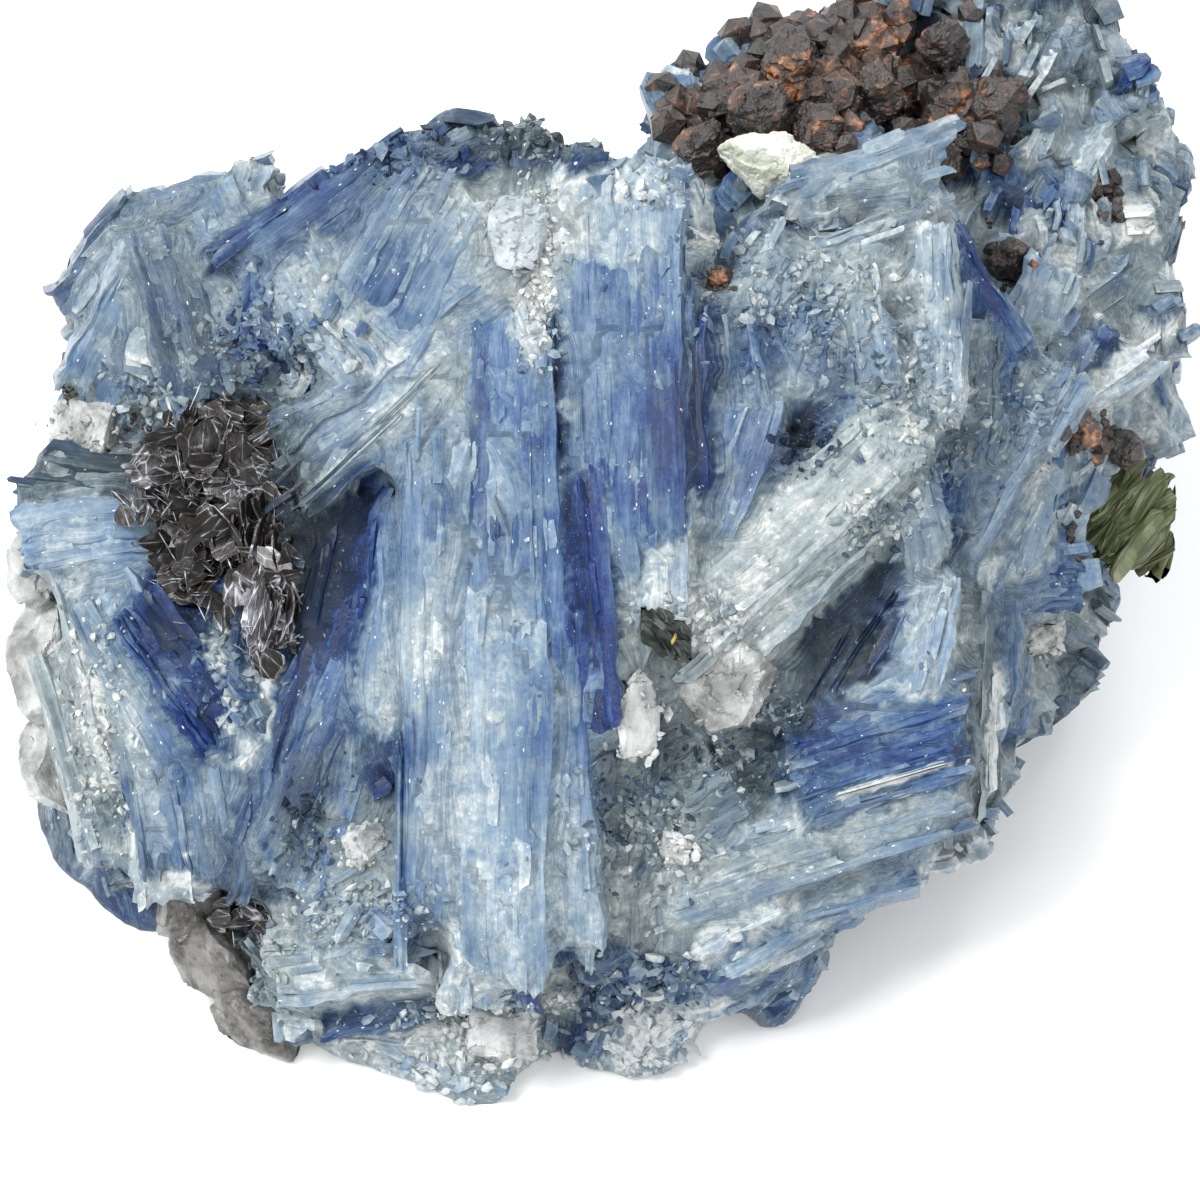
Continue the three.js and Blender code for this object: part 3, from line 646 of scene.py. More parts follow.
# Colour zones that run through several blades: u, v, reach along and across, heading, then how
# much paler and how much greyer the middle is.
COLOUR_ZONES = (
    (-1.0, -1.0, 6.5, 1.2, 95, -0.27, -0.4), (-12.6, 0.6, 5.4, 2.4, 72, -0.32, -0.5),
    (-7.0, 3.5, 4.5, 1.4, 88, -0.12, 0.1), (-4.0, 8.5, 4.0, 1.6, 90, -0.10, 0.0),
    (-8.8, -1.5, 3.2, 1.4, 80, 0.25, 0.35), (-6.6, -8.0, 6.0, 1.2, 90, 0.18, 0.1),
    (-3.0, -7.0, 4.0, 0.9, 88, -0.14, 0.0), (-4.8, -15.5, 4.0, 2.4, 90, 0.14, 0.05),
    (1.0, 8.0, 5.5, 1.6, 90, -0.10, -0.1), (4.0, 9.0, 5.0, 1.1, 90, -0.30, 0.3),
    (2.2, 1.0, 3.0, 2.2, 60, 0.16, 0.2), (0.6, 18.5, 3.6, 3.0, 90, 0.02, 0.20),
    (2.6, -2.2, 1.6, 1.6, 0, 0.05, 0.6), (-6.0, 19.5, 3.0, 2.4, 60, 0.10, 0.2),
    (-9.8, 15.0, 3.0, 2.0, 60, -0.12, 0.0), (-14.0, 19.6, 4.6, 2.2, 35, -0.16, 0.1),
    (-21.0, 13.2, 2.4, 3.2, 90, -0.10, 0.3), (-22.5, 18.4, 2.6, 2.2, 90, -0.02, 0.3),
    (-22.4, -1.5, 4.2, 1.0, 122, -0.30, -0.1), (-22.4, -8.0, 3.6, 1.1, 98, -0.25, 0.0),
    (-24.6, -6.0, 5.0, 1.2, 106, 0.18, 0.2), (-12.8, -6.0, 4.5, 1.4, 68, -0.22, 0.1),
    (-10.5, -8.0, 3.2, 1.3, 55, -0.35, 0.1), (-8.0, -12.0, 3.0, 1.6, 80, 0.12, 0.1),
    (14.6, -8.0, 4.2, 1.5, 17, -0.16, -0.2), (10.0, 3.0, 7.0, 1.6, 41, 0.06, 0.2),
    (12.4, -2.8, 5.0, 2.2, 58, -0.30, 0.3), (6.6, 5.6, 3.0, 1.2, 70, -0.08, 0.1),
    (21.0, 8.0, 6.0, 1.8, 60, -0.14, -0.1), (19.6, 14.8, 3.6, 1.8, 115, -0.18, -0.1),
    (12.5, 20.0, 6.0, 1.8, 20, 0.06, 0.1), (8.0, -14.0, 6.0, 1.4, 22, 0.06, 0.2),
    (-16.4, 2.6, 4.6, 2.8, 75, -0.55, 0.9), (-18.0, 8.6, 3.0, 2.4, 20, -0.35, 0.8),
    (-27.6, -6.5, 6.0, 2.2, 100, 0.02, 0.9), (-19.0, -18.6, 4.6, 3.6, 120, -0.14, 0.9),
    (-31.0, -7.5, 7.0, 2.6, 95, 0.10, 0.9), (-15.4, -10.5, 4.0, 1.4, 80, -0.22, 0.7),
    (-5.0, 24.2, 4.6, 1.6, 170, -0.12, 0.8), (6.0, -3.5, 2.6, 2.6, 0, 0.10, 0.9),
    (-24.6, 6.2, 3.4, 1.4, 10, -0.20, 0.5), (14.0, 17.2, 4.0, 2.4, 10, 0.06, 0.3),
    (10.4, 7.8, 2.2, 1.3, 35, -0.22, 0.4), (-2.5, 17.5, 4.6, 1.0, 80, 0.20, 0.5),
    (19.8, -6.0, 6.0, 1.2, 95, -0.05, 0.6), (2.9, -2.6, 1.7, 0.9, -40, -0.40, 0.9),
    (12.0, 23.0, 7.0, 2.6, 20, 0.12, 0.1), (23.0, 10.0, 6.0, 4.0, 70, 0.12, 0.2),
    (25.0, 20.0, 6.0, 5.0, 80, 0.16, 0.2), (4.0, -14.5, 6.0, 4.0, 10, 0.14, 0.2),
    (13.0, -10.0, 6.0, 3.0, 20, 0.10, 0.1), (-7.0, -21.5, 7.0, 2.0, 0, 0.10, 0.3),
    (-9.0, 18.0, 4.5, 3.2, 60, -0.10, 0.0), (-10.5, 9.5, 5.0, 2.4, 41, -0.07, 0.0),
    (-5.8, -13.0, 6.0, 3.0, 90, -0.13, 0.0), (14.2, -10.2, 5.5, 3.6, 17, 0.03, 0.25),
    (22.0, 8.4, 7.5, 4.0, 75, 0.07, 0.05), (28.8, 21.6, 6.0, 5.0, 80, 0.10, 0.1),
    (2.0, -12.6, 4.6, 3.6, 90, 0.08, 0.0), (-17.4, 3.4, 5.0, 3.4, 75, -0.30, 0.4),
    (-5.2, 20.6, 2.6, 1.3, 5, 0.34, 0.5), (-3.4, 17.6, 3.2, 0.9, 95, 0.34, 0.5),
    (-22.8, -7.0, 6.0, 1.6, 100, 0.10, 0.0), (27.0, 17.0, 8.0, 4.0, 90, 0.04, 0.1),
)


ZONES_END = -24


def world_to_face(points):
    return (points - np.array(FACE_ORIGIN)) @ face_turn / MM


def zone_shift(points):
    """How much paler and greyer each point is for the zones that it lies in."""
    on_face = world_to_face(points)
    shift = np.zeros((len(points), 2))
    for u, v, along, across, heading, paler, greyer in COLOUR_ZONES:
        line = np.array([np.cos(radians(heading)), np.sin(radians(heading))])
        away = on_face[:, :2] - (u, v)
        beside = away[:, 0] * line[1] - away[:, 1] * line[0]
        reach = ((away @ line) / along) ** 2 + (beside / across) ** 2
        shift += np.exp(-reach)[:, None] * (paler, greyer)
    return shift * (on_face[:, 2:3] > ZONES_END)


def crystal_piece(name, batches, skin=blade_skin, zoning=0.6):
    points, faces, grain, tint = joined(batches)
    tint[:, :2] += zoning * zone_shift(points)
    mesh = mesh_from(name, (points, faces, grain, tint))
    return mesh_object(name, mesh, skin, "kyanite", "kyanite_blades")


crystals = {}
for number, (group, rows) in enumerate(BLADES.items()):
    rng = np.random.default_rng(400 + number)
    table = np.array(rows, float)
    turns = face_rotations(table[:, 5], table[:, 8], table[:, 9])
    centres = face_to_world(table[:, :3])
    batches = []
    for row, turn, centre in zip(table, turns, centres):
        batches += sheaf(rng, centre, turn, row[3], row[4], row[6], row[7], RIDGES[group])
    crystals[group] = crystal_piece(group.replace(" ", "_"), batches, zoning=1.0)

# ---------------------------------------------------------------- small blades in between
# Between the big blades the stone is packed with short ones that follow their neighbours, and the
# back is covered in broad broken blades of its own.
BACK_BELOW = -15
SMALL_PALENESS = (0.30, 0.74)
SMALL_DEPTH = 1.8
BARE_NEAR_FLOOR = 0.0015
# How squarely a spot must face away from the middle of the stone, and out of the blade face.
TURNED_OUT, TURNED_UP = 0.35, 0.45
# The rim where the face turns over: half widths along u and v, where it starts, how far up it goes.
RIM_HALF, RIM_STARTS, RIM_TOP = (28, 24), 0.92, 14
# The garnets' shoulder, which small blades keep clear of: its middle in u and v, and half widths.
SHOULDER, SHOULDER_HALF = (13.5, 29.5), (8.5, 4.5)


def surface_spots(rng, mesh_points, triangles, count):
    """Random spots spread evenly over a mesh, with the outward direction at each."""
    a, b, c = (mesh_points[triangles[:, k]] for k in range(3))
    cross = np.cross(b - a, c - a)
    area = np.linalg.norm(cross, axis=1)
    chosen = rng.choice(len(triangles), count, p=area / area.sum())
    s, t = rng.random(count), rng.random(count)
    s, t = np.where(s + t > 1, 1 - s, s)[:, None], np.where(s + t > 1, 1 - t, t)[:, None]
    spots = a[chosen] + s * (b - a)[chosen] + t * (c - a)[chosen]
    return spots, cross[chosen] / np.maximum(area[chosen], 1e-18)[:, None]


def triangles_of(mesh):
    mesh.calc_loop_triangles()
    flat = np.empty(len(mesh.loop_triangles) * 3, np.int32)
    mesh.loop_triangles.foreach_get("vertices", flat)
    return flat.reshape(-1, 3)


def tree_of(meshes):
    """A search tree over the meshes, and the points and triangles in it."""
    points, faces = one_set([points_of(m) for m in meshes], [triangles_of(m) for m in meshes])
    return BVHTree.FromPolygons(points.tolist(), faces.tolist()), points, faces


def lying(outward, along):
    """Turns that lay a blade on a surface: its flat top out, its length near the given line."""
    out = outward / np.linalg.norm(outward, axis=1, keepdims=True)
    y = along - (along * out).sum(1, keepdims=True) * out
    y = y / np.maximum(np.linalg.norm(y, axis=1, keepdims=True), 1e-9)
    return np.stack([np.cross(y, out), y, out], 2)


# Small blades follow the nearest guide: a large blade, or on the back and round the foot one at random.
FAR_GUIDES = 90
BACK_STARTS = -0.004
SKIRT_TOP = 0.008
FAR_TINTS = ((0.24, 0.64), (0.0, 0.7))
rows = np.array([row for group in BLADES.values() for row in group if row[4] > 1], float)
seed_spots = face_to_world(rows[:, :3])
seed_lines = face_rotations(rows[:, 5], rows[:, 8], rows[:, 9])[:, :, 1]
seed_tints = rows[:, 6:8]
rng = np.random.default_rng(900)
cad_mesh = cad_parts["kyanite_blades"].data
cad_points, cad_faces = points_of(cad_mesh), triangles_of(cad_mesh)
far_spots, _ = surface_spots(rng, cad_points, cad_faces, FAR_GUIDES)
far_spots = far_spots[(far_spots[:, 1] > BACK_STARTS) | (far_spots[:, 2] < SKIRT_TOP)]
far_lines = rng.normal(0, 1, (len(far_spots), 3)) + np.array([0.0, 0.0, 0.6])
far_tints = np.stack([rng.uniform(low, high, len(far_spots)) for low, high in FAR_TINTS], 1)
seed_spots = np.concatenate([seed_spots, far_spots])
seed_lines = np.concatenate([seed_lines, far_lines])
seed_tints = np.concatenate([seed_tints, far_tints])

placed_tree, _, _ = tree_of([o.data for o in crystals.values()])
face_out = face_turn @ np.array([0, 0, 1.0])
stone_middle = np.array([0.0, 0.0, 0.012])


def nearest_seed(spots):
    parts = np.array_split(spots, max(1, len(spots) // 2000))
    return np.concatenate([
        np.argmin(((part[:, None] - seed_spots[None]) ** 2).sum(2), 1) for part in parts])


solid_tree = BVHTree.FromPolygons(cad_points.tolist(), cad_faces.tolist())


def proud_of_solid(point):
    spot, outward, _, apart = solid_tree.find_nearest(Vector(point))
    return apart if (Vector(point) - spot).dot(outward) > 0 else 0.0


def oval_reach(on_face, middle, half):
    """How far out each place is from the middle of an oval, 1 being on the oval itself."""
    return np.hypot((on_face[:, 0] - middle[0]) / half[0], (on_face[:, 1] - middle[1]) / half[1])


def filler(rng, count, widths, lengths, shape, sink, covered_mm, proudest, back_only=False):
    """Small blades at random spots that no large blade covers. Each must stay within proudest
    millimetres of the solid."""
    spots, outward = surface_spots(rng, cad_points, cad_faces, count)
    on_face = world_to_face(spots)
    height = on_face[:, 2]
    away = spots - stone_middle
    away = away / np.linalg.norm(away, axis=1, keepdims=True)
    rim = (oval_reach(on_face, (0, 0), RIM_HALF) > RIM_STARTS) & (on_face[:, 1] < RIM_TOP)
    keep = (spots[:, 2] > BARE_NEAR_FLOOR) & ((outward * away).sum(1) > TURNED_OUT)
    keep &= (oval_reach(on_face, SHOULDER, SHOULDER_HALF) > 1) | (height < ZONES_END)
    keep &= (height < BACK_BELOW) | (not back_only) & ((outward @ face_out > TURNED_UP) | rim)
    for k in np.flatnonzero(keep):
        start = Vector(spots[k] + outward[k] * covered_mm * MM)
        hit = placed_tree.ray_cast(start, Vector(-outward[k]), (covered_mm + 0.5) * MM)
        keep[k] = hit[0] is None
    spots, outward, height = spots[keep], outward[keep], height[keep]
    nearest = nearest_seed(spots)
    n = len(spots)
    facing = outward + rng.normal(0, 0.10, (n, 3))
    turns = lying(facing, seed_lines[nearest] + rng.normal(0, 0.22, (n, 3)))
    sizes = np.stack([rng.uniform(*widths, n), rng.uniform(*lengths, n), np.full(n, SMALL_DEPTH)], 1)
    pale = seed_tints[nearest, 0] + rng.normal(0, 0.16, n)
    pale = np.where(height > BACK_BELOW, np.clip(pale, *SMALL_PALENESS), pale)
    grey = seed_tints[nearest, 1] + rng.normal(0.1, 0.12, n)
    tints = np.stack([pale, grey, rng.uniform(0, 0.5, n)], 1)
    centres = spots - outward * rng.uniform(*sink, n)[:, None] * MM
    half = turns[:, :, 1] * sizes[:, 1:2] * 0.5 * MM
    tips = zip(centres - half, centres + half)
    proud = np.array([max(proud_of_solid(low), proud_of_solid(high)) for low, high in tips])
    fits = proud < proudest * MM
    return slabs(rng, shape, centres[fits], turns[fits], sizes[fits], tints[fits], step=0.07, comb=0.35)


rng = np.random.default_rng(901)
back = crystal_piece("back_blades", [
    filler(rng, 760, (1.6, 4.2), (5, 13), broad_slab, sink=(-0.3, 0.5), covered_mm=2.0, proudest=0.9,
           back_only=True)])
placed_tree, _, _ = tree_of([o.data for o in crystals.values()] + [back.data])
rng = np.random.default_rng(902)
small = crystal_piece("small_blades", [
    filler(rng, 3600, (0.5, 1.9), (1.6, 5.0), small_slab, sink=(-0.15, 0.7), covered_mm=1.5,
           proudest=0.3)])
rng = np.random.default_rng(903)
crystal_piece("blade_chips", [
    filler(rng, 5200, (0.2, 0.8), (0.6, 2.4), splinter_slab, sink=(-0.15, 0.6), covered_mm=1.2,
           proudest=0.35)])

# ---------------------------------------------------------------- quartz and feldspar
# Quartz fills gaps between the blades as clear grey or milky grains that break in curved facets.
# One grain of chalky cream feldspar sits in the notch at the top.
FELDSPAR_OUT = np.array([0, 0.9, 0.8])


def drift(point, scale):
    """A vector that wanders smoothly from place to place."""
    spot = Vector(point) * scale
    apart = ((0, 0, 0), (9.3, 1.5, 0), (0, 6.8, 2.7))
    return Vector([noise.noise(spot + Vector(shift)) for shift in apart])


def cells_at(points, fineness, scale):
    """A value from 0 to 1 for each point, the same all through each of many small uneven cells."""
    return np.array([noise.cell(Vector(p) * fineness + drift(p, scale)) for p in points])


def fractals_at(points, fineness, shift, *rule):
    return np.array([noise.fractal(Vector(p) * fineness + Vector(shift), *rule) for p in points])


def broken_back(rng, points, outward, seed, facets, depth, fineness, roughen):
    """Points of a closed lump, cut back to flat facets and roughened, kept inside its own box."""
    middle = (points.min(0) + points.max(0)) / 2
    half = (points.max(0) - points.min(0)) / 2
    for _ in range(facets):
        direction = rng.normal(0, 1, 3)
        direction /= np.linalg.norm(direction)
        limit = ((points - middle) @ direction).max() * rng.uniform(1 - depth, 1.0)
        beyond = np.maximum((points - middle) @ direction - limit, 0)
        points = points - beyond[:, None] * direction
    rough = fractals_at(points, fineness, (seed, 0, 0), 0.7, 2.1, 4)
    cells = cells_at(points, fineness * 1.6, 700)
    points = points + outward * ((rough * 0.6 + cells * 0.5) * roughen * MM)[:, None]
    low, high = middle - half, middle + half
    return np.clip(points, low, high)


def voxel_skin(name, mesh, voxel):
    """One closed skin of even triangles round a mesh."""
    holder = bpy.data.objects.new(name, mesh)
    bpy.context.scene.collection.objects.link(holder)
    remesh = holder.modifiers.new("even out", "REMESH")
    remesh.mode = "VOXEL"
    remesh.voxel_size = voxel
    made = bpy.data.meshes.new_from_object(holder.evaluated_get(bpy.context.evaluated_depsgraph_get()))
    bpy.data.objects.remove(holder)
    return made


def normals_of(mesh):
    return vectors_of(mesh.vertex_normals, "vector")


def write_points(mesh, points):
    mesh.vertices.foreach_set("co", np.asarray(points, np.float32).ravel())
    mesh.update()


def facet_grain(name, source, seed, facets, depth, fineness, roughen, voxel=0.16 * MM):
    """The CAD grain's own shape, broken back to flat and rough facets, kept in its place."""
    rng = np.random.default_rng(seed)
    bm = bmesh.new()
    bm.from_mesh(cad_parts[source].data)
    bmesh.ops.remove_doubles(bm, verts=bm.verts, dist=1e-6)
    bmesh.ops.recalc_face_normals(bm, faces=bm.faces)
    lump = bpy.data.meshes.new(name)
    bm.to_mesh(lump)
    bm.free()
    lump = voxel_skin(name, lump, voxel)
    points, outward = points_of(lump), normals_of(lump)
    write_points(lump, broken_back(rng, points, outward, seed, facets, depth, fineness, roughen))
    return lump


def clear_stone(name, colour, transmission, roughness, cloud, relief_mm):
    made, tree, skin = new_material(name)
    place = object_place(tree)
    haze = stretched(tree, place, (500, 500, 500), 5.0, 0.6)
    pits = stretched(tree, place, (2800, 2800, 2800), 4.0, 0.65)
    gloss = maths(tree, "MULTIPLY_ADD", pits, 0.4, roughness - 0.2, clamp=True)
    feed(tree, skin, {
        "Base Color": ramp(tree, haze, ((0.38, colour), (0.62, cloud))), "Roughness": gloss,
        "IOR": 1.54, "Transmission Weight": transmission,
    })
    bumped(tree, skin, pits, relief_mm)
    return made


grey_quartz = clear_stone("grey quartz", (0.26, 0.27, 0.265), 0.30, 0.22, (0.70, 0.72, 0.70), 0.08)
milky_quartz = clear_stone("milky quartz", (0.34, 0.36, 0.365), 0.10, 0.32, (0.71, 0.72, 0.705), 0.10)
frosted_quartz = clear_stone("frosted quartz", (0.27, 0.32, 0.36), 0.10, 0.34, (0.52, 0.56, 0.58), 0.08)
smoky_quartz = clear_stone("smoky quartz", (0.060, 0.057, 0.052), 0.30, 0.26, (0.30, 0.29, 0.275), 0.07)
feldspar_skin = clear_stone("cream feldspar", (0.50, 0.53, 0.42), 0.0, 0.62, (0.82, 0.83, 0.75), 0.14)

grains = []
for seed, (node, skin) in enumerate((
    ("quartz_crest", frosted_quartz), ("quartz_wedge", milky_quartz), ("quartz_centre", grey_quartz),
    ("quartz_band", milky_quartz), ("quartz_foot", milky_quartz), ("quartz_left", grey_quartz),
    ("quartz_right", grey_quartz), ("quartz_spot", milky_quartz),
)):
    name = node.replace("_", "_grain_")
    grain = facet_grain(name, node, 20 + seed, facets=26, depth=0.50, fineness=460, roughen=0.27)
    grains.append(mesh_object(name, grain, skin, "quartz", node))
feldspar = facet_grain(
    "feldspar_grain", "feldspar", 40, facets=9, depth=0.35, fineness=520, roughen=0.26)
write_points(feldspar, points_of(feldspar) + face_turn @ FELDSPAR_OUT * MM)
grains.append(mesh_object("feldspar_grain", feldspar, feldspar_skin, "feldspar", "feldspar"))

# Smoky lumps at the lower left, then paler ones up the left edge: u, v, w, half widths, heading.
LUMPS = (
    (-20.4, -19.4, -11.0, 2.4, 3.2, 2.6, 30), (-18.2, -22.4, -11.4, 2.2, 3.0, 2.4, 50),
    (-22.2, -16.4, -12.4, 2.4, 2.8, 3.0, 10), (-30.2, -3.4, -14.0, 2.0, 3.6, 3.4, 5),
    (-29.4, -9.4, -15.4, 2.2, 3.4, 3.4, 20), (-30.4, 1.6, -13.0, 1.6, 2.4, 2.6, 0),
)
lumps = []
bm = bmesh.new()
bmesh.ops.create_icosphere(bm, subdivisions=5, radius=1)
ball, faces = corners_and_triangles(bm)
for seed, (u, v, w, *half, heading) in enumerate(LUMPS):
    turn = face_rotations([heading + 90], [0], [0])[0]
    points = face_to_world([u, v, w]) + (ball * half * MM) @ turn.T
    rng = np.random.default_rng(50 + seed)
    points = broken_back(
        rng, points, ball @ turn.T, 50 + seed, facets=16, depth=0.4, fineness=420, roughen=0.30)
    lumps.append((inside_box(points[None])[0], faces, ball, np.zeros_like(points)))
for name, skin, some in (
    ("smoky_quartz", smoky_quartz, lumps[:3]), ("edge_quartz", grey_quartz, lumps[3:]),
):
    mesh_object(name, mesh_from(name, joined(some)), skin, "quartz", "quartz_left")

# ---------------------------------------------------------------- the stone between
# The blades grew together in one mass. Their own shapes are swelled until the cracks close, then
# drawn back, so that the stone runs smoothly from each blade to the next just below their faces.
STONE_GRAIN = 0.44 * MM
CLOSED_CRACK = 0.85 * MM
CORE_SUNK = 1.1 * MM
BELOW_BLADES = 0.04 * MM
WAVES = 0.17 * MM
STONE_MARGIN = 0.2 * MM
FLOOR_SKIN, FLOOR_BLEND = 0.0006, 0.0012
# In millimetres: how near a grain the stone turns pale, how near it tucks in, and how far under.
BESIDE_GRAIN, TUCK_FROM, TUCK_DEPTH = 2.0, 1.2, 0.25


def evened(name, points, faces):
    """One closed skin round everything given."""
    mesh = bpy.data.meshes.new(name)
    mesh.from_pydata(points.tolist(), [], faces.tolist())
    return voxel_skin(name, mesh, STONE_GRAIN)


core = evened("core", cad_points, cad_faces)
core_points = points_of(core) - normals_of(core) * CORE_SUNK
core_faces = triangles_of(core)
grown = [crystals[group].data for group in BLADES] + [back.data, small.data]
blade_tree, blade_points, blade_faces = tree_of(grown)
blade_tints = np.concatenate([vectors_of(mesh.attributes["tint"].data, "vector") for mesh in grown])
_, grain_points, grain_faces = tree_of([grain.data for grain in grains[:-1]])
core = evened("swelled", *one_set(
    [core_points, blade_points, grain_points], [core_faces, blade_faces, grain_faces]))
core = evened("closed", points_of(core) + normals_of(core) * CLOSED_CRACK, triangles_of(core))
ends = np.empty(len(core.edges) * 2, np.int32)
core.edges.foreach_get("vertices", ends)
ends = np.concatenate([ends.reshape(-1, 2), ends.reshape(-1, 2)[:, ::-1]])
neighbours = np.bincount(ends[:, 0])[:, None]
points = points_of(core)
for _ in range(4):
    total = np.stack([np.bincount(ends[:, 0], points[ends[:, 1], k]) for k in range(3)], 1)
    points = points + 0.5 * (total / neighbours - points)
write_points(core, points)
outward = normals_of(core)
coarse = fractals_at(points, 420, (0, 0, 0), 0.9, 2.0, 3)
above_floor = np.clip((points[:, 2] - FLOOR_SKIN) / FLOOR_BLEND, 0, 1)
push = (-CLOSED_CRACK - BELOW_BLADES + WAVES * coarse) * above_floor
points = points + outward * push[:, None]
low, high = np.array(cad_box[0]) + STONE_MARGIN, np.array(cad_box[1]) - STONE_MARGIN
points = np.clip(points, (low[0], low[1], 0.0), high)
found = [blade_tree.find_nearest(Vector(p)) for p in points]
nearest = np.array([hit[2] for hit in found])
apart = np.array([hit[3] for hit in found]) / MM
cells = cells_at(points, 1500, 900)
rough = np.clip(apart - 0.1, 0, 0.9) * (cells - 0.7) * 0.8 * MM * above_floor
points = points + outward * rough[:, None]
grain_tree, _, _ = tree_of([grain.data for grain in grains] + [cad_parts["hornblende"].data])
beside = np.zeros(len(points))
for k, point in enumerate(points):
    spot, facing, _, off = grain_tree.find_nearest(Vector(point))
    beside[k] = np.clip(BESIDE_GRAIN - off / MM, 0, 1)
    tuck = float(np.clip((TUCK_FROM - off / MM) / 0.6, 0, 1)) * above_floor[k]
    points[k] += (np.array(spot - facing * TUCK_DEPTH * MM) - point) * tuck
write_points(core, points)
lines = nearest_seed(points)
local = np.einsum("nij,ni->nj", lying(outward, seed_lines[lines]), points / MM)
write_attribute(core, "grain", local * (1, 1, 0) + (lines * 7.3 % 90)[:, None])
mottles = np.array([noise.noise(Vector(p) * 420 + Vector((7, 7, 7))) for p in points])
tint = blade_tints[blade_faces[nearest]].mean(1)
# The stone is paler with mottling. It is also darker the further it lies from a blade, and that darkening
# is painted shade in the hollows between the blades.
tint[:, 0] += 0.04 + 0.12 * mottles - 0.10 * np.clip(apart - 0.4, 0, 1.2)
tint[:, 0] += (0.60 - tint[:, 0]) * 0.7 * beside
tint[:, 1] += 0.15 + 0.5 * beside
tint[:, 2] = 0.45
write_attribute(core, "tint", tint)
core.polygons.foreach_set("use_smooth", np.ones(len(core.polygons), bool))
stone = mesh_object("stone_between", core, blade_skin, "kyanite", "kyanite_blades")

# ---------------------------------------------------------------- crumbs
# Every face carries crumbs of its own dust: splinters and grains of pale kyanite, thick in the
# sugary patches and thin on the clean blades.
FINEST_SUGAR = 0.22
CRUMBS_TO_A_GRAIN = 170
DUST_SPOTS = 26000
DUST_FROM = 0.001
HEADROOM = 3 * MM


def chunk_template():
    bm = bmesh.new()
    bmesh.ops.create_icosphere(bm, subdivisions=1, radius=0.5)
    return corners_and_triangles(bm)


chunk = chunk_template()


def chunks(rng, spots, sizes, tints, squash=(0.3, 0.8), uneven=0.5):
    """Broken grains, each with corners of its own, at world spots; sizes in millimetres."""
    corners, triangles = chunk
    n, m = len(spots), len(corners)
    local = corners[None] * rng.uniform(1 - uneven, 1 + uneven, (n, m, 1))
    local = local * np.stack([rng.uniform(*squash, n), rng.uniform(*squash, n), np.ones(n)], 1)[:, None]
    basis, _ = np.linalg.qr(rng.normal(0, 1, (n, 3, 3)))
    basis = basis * np.sign(np.linalg.det(basis))[:, None, None]
    turned = np.einsum("nij,nmj->nmi", basis, local * (sizes * MM)[:, None, None])
    points = inside_box(spots[:, None] + turned)
    grain = np.repeat(rng.uniform(0, 90, (n, 1, 3)), m, 1) + local * sizes[:, None, None]
    return laid_out(points, triangles, grain, np.repeat(tints[:, None], m, 1))


# Sugary patches: u, v, w, reach in u and v, how many, coarsest grain, paleness, greyness.
SUGARY = (
    (-17, 13, -5.2, 4.5, 3.0, 420, 1.1, 0.55, 0.4), (-10.5, 22.6, -4.8, 3.4, 1.4, 160, 1.2, 0.22, 0.5),
    (-3.5, 24.0, -5.5, 4.0, 1.8, 200, 1.2, 0.30, 0.8), (4.2, 21.5, -4.2, 3.0, 2.2, 240, 1.3, 0.62, 0.4),
    (9.5, 15.8, -2.6, 5.0, 4.0, 420, 0.9, 0.50, 0.5), (14.6, 11.4, -3.2, 3.0, 5.0, 260, 0.9, 0.45, 0.55),
    (10.6, 7.8, -3.8, 2.0, 1.3, 90, 0.9, 0.12, 0.4), (2.0, -11.8, -4.2, 3.4, 3.6, 360, 1.0, 0.30, 0.7),
    (6.4, -8.2, -4.0, 3.0, 1.6, 160, 0.9, 0.35, 0.7), (13.8, 4.0, -3.8, 2.2, 2.0, 150, 1.0, 0.55, 0.7),
    (-19.5, -3.6, -7.0, 3.0, 3.0, 200, 0.9, 0.60, 0.3),
    (-13.5, -16.4, -4.8, 3.0, 1.4, 140, 0.8, 0.70, 0.3),
    (-4.0, -21.0, -5.6, 4.0, 1.0, 140, 0.8, 0.75, 0.2), (1.5, -20.6, -8.6, 3.0, 2.0, 220, 1.0, 0.20, 0.4),
    (-24.0, 10.2, -8.2, 2.6, 2.0, 160, 1.0, 0.55, 0.7), (17.6, 8.0, -5.2, 1.6, 5.0, 180, 0.9, 0.55, 0.4),
    (-15.0, -11.6, -5.0, 2.0, 3.4, 110, 0.9, 0.20, 0.4),
    (-3.0, 16.6, -1.0, 1.2, 6.5, 260, 0.7, 0.70, 0.5), (5.0, -1.0, -3.4, 3.2, 1.4, 170, 0.8, 0.72, 0.6),
    (8.0, -5.6, -4.0, 2.6, 1.2, 120, 0.8, 0.66, 0.7), (-11.0, -15.6, -3.6, 2.6, 1.2, 150, 0.8, 0.68, 0.4),
    (-8.0, -22.0, -6.6, 5.0, 1.2, 160, 0.8, 0.66, 0.5),
    (-26.6, -8.0, -8.6, 2.4, 8.0, 260, 0.9, 0.75, 0.4),
    (-17.6, -19.6, -8.6, 3.0, 2.4, 160, 1.0, 0.45, 0.9),
    (2.4, -20.4, -8.6, 5.0, 2.6, 160, 1.2, 0.60, 0.3), (2.8, -24.0, -11.0, 4.4, 2.6, 260, 1.4, 0.95, 0.2),
    (-9.0, -25.0, -11.0, 9.0, 2.0, 320, 1.2, 0.85, 0.4),
    (22.0, 9.6, -10.4, 4.0, 3.0, 160, 0.9, 0.45, 0.4),
)


def dropped(tree, rng, place, reach, count, above, fall):
    """Where crumbs come to rest when they fall straight onto the face round a place. They start
    above millimetres over it, and fall no further than fall."""
    u, v, w = place
    scatter = rng.normal(0, 0.5, (count, 2)) * reach + (u, v)
    starts = face_to_world(np.column_stack([scatter, np.full(count, w + above)]))
    hits = [tree.ray_cast(Vector(start), Vector(-face_out), fall * MM)[0] for start in starts]
    return [hit for hit in hits if hit is not None]


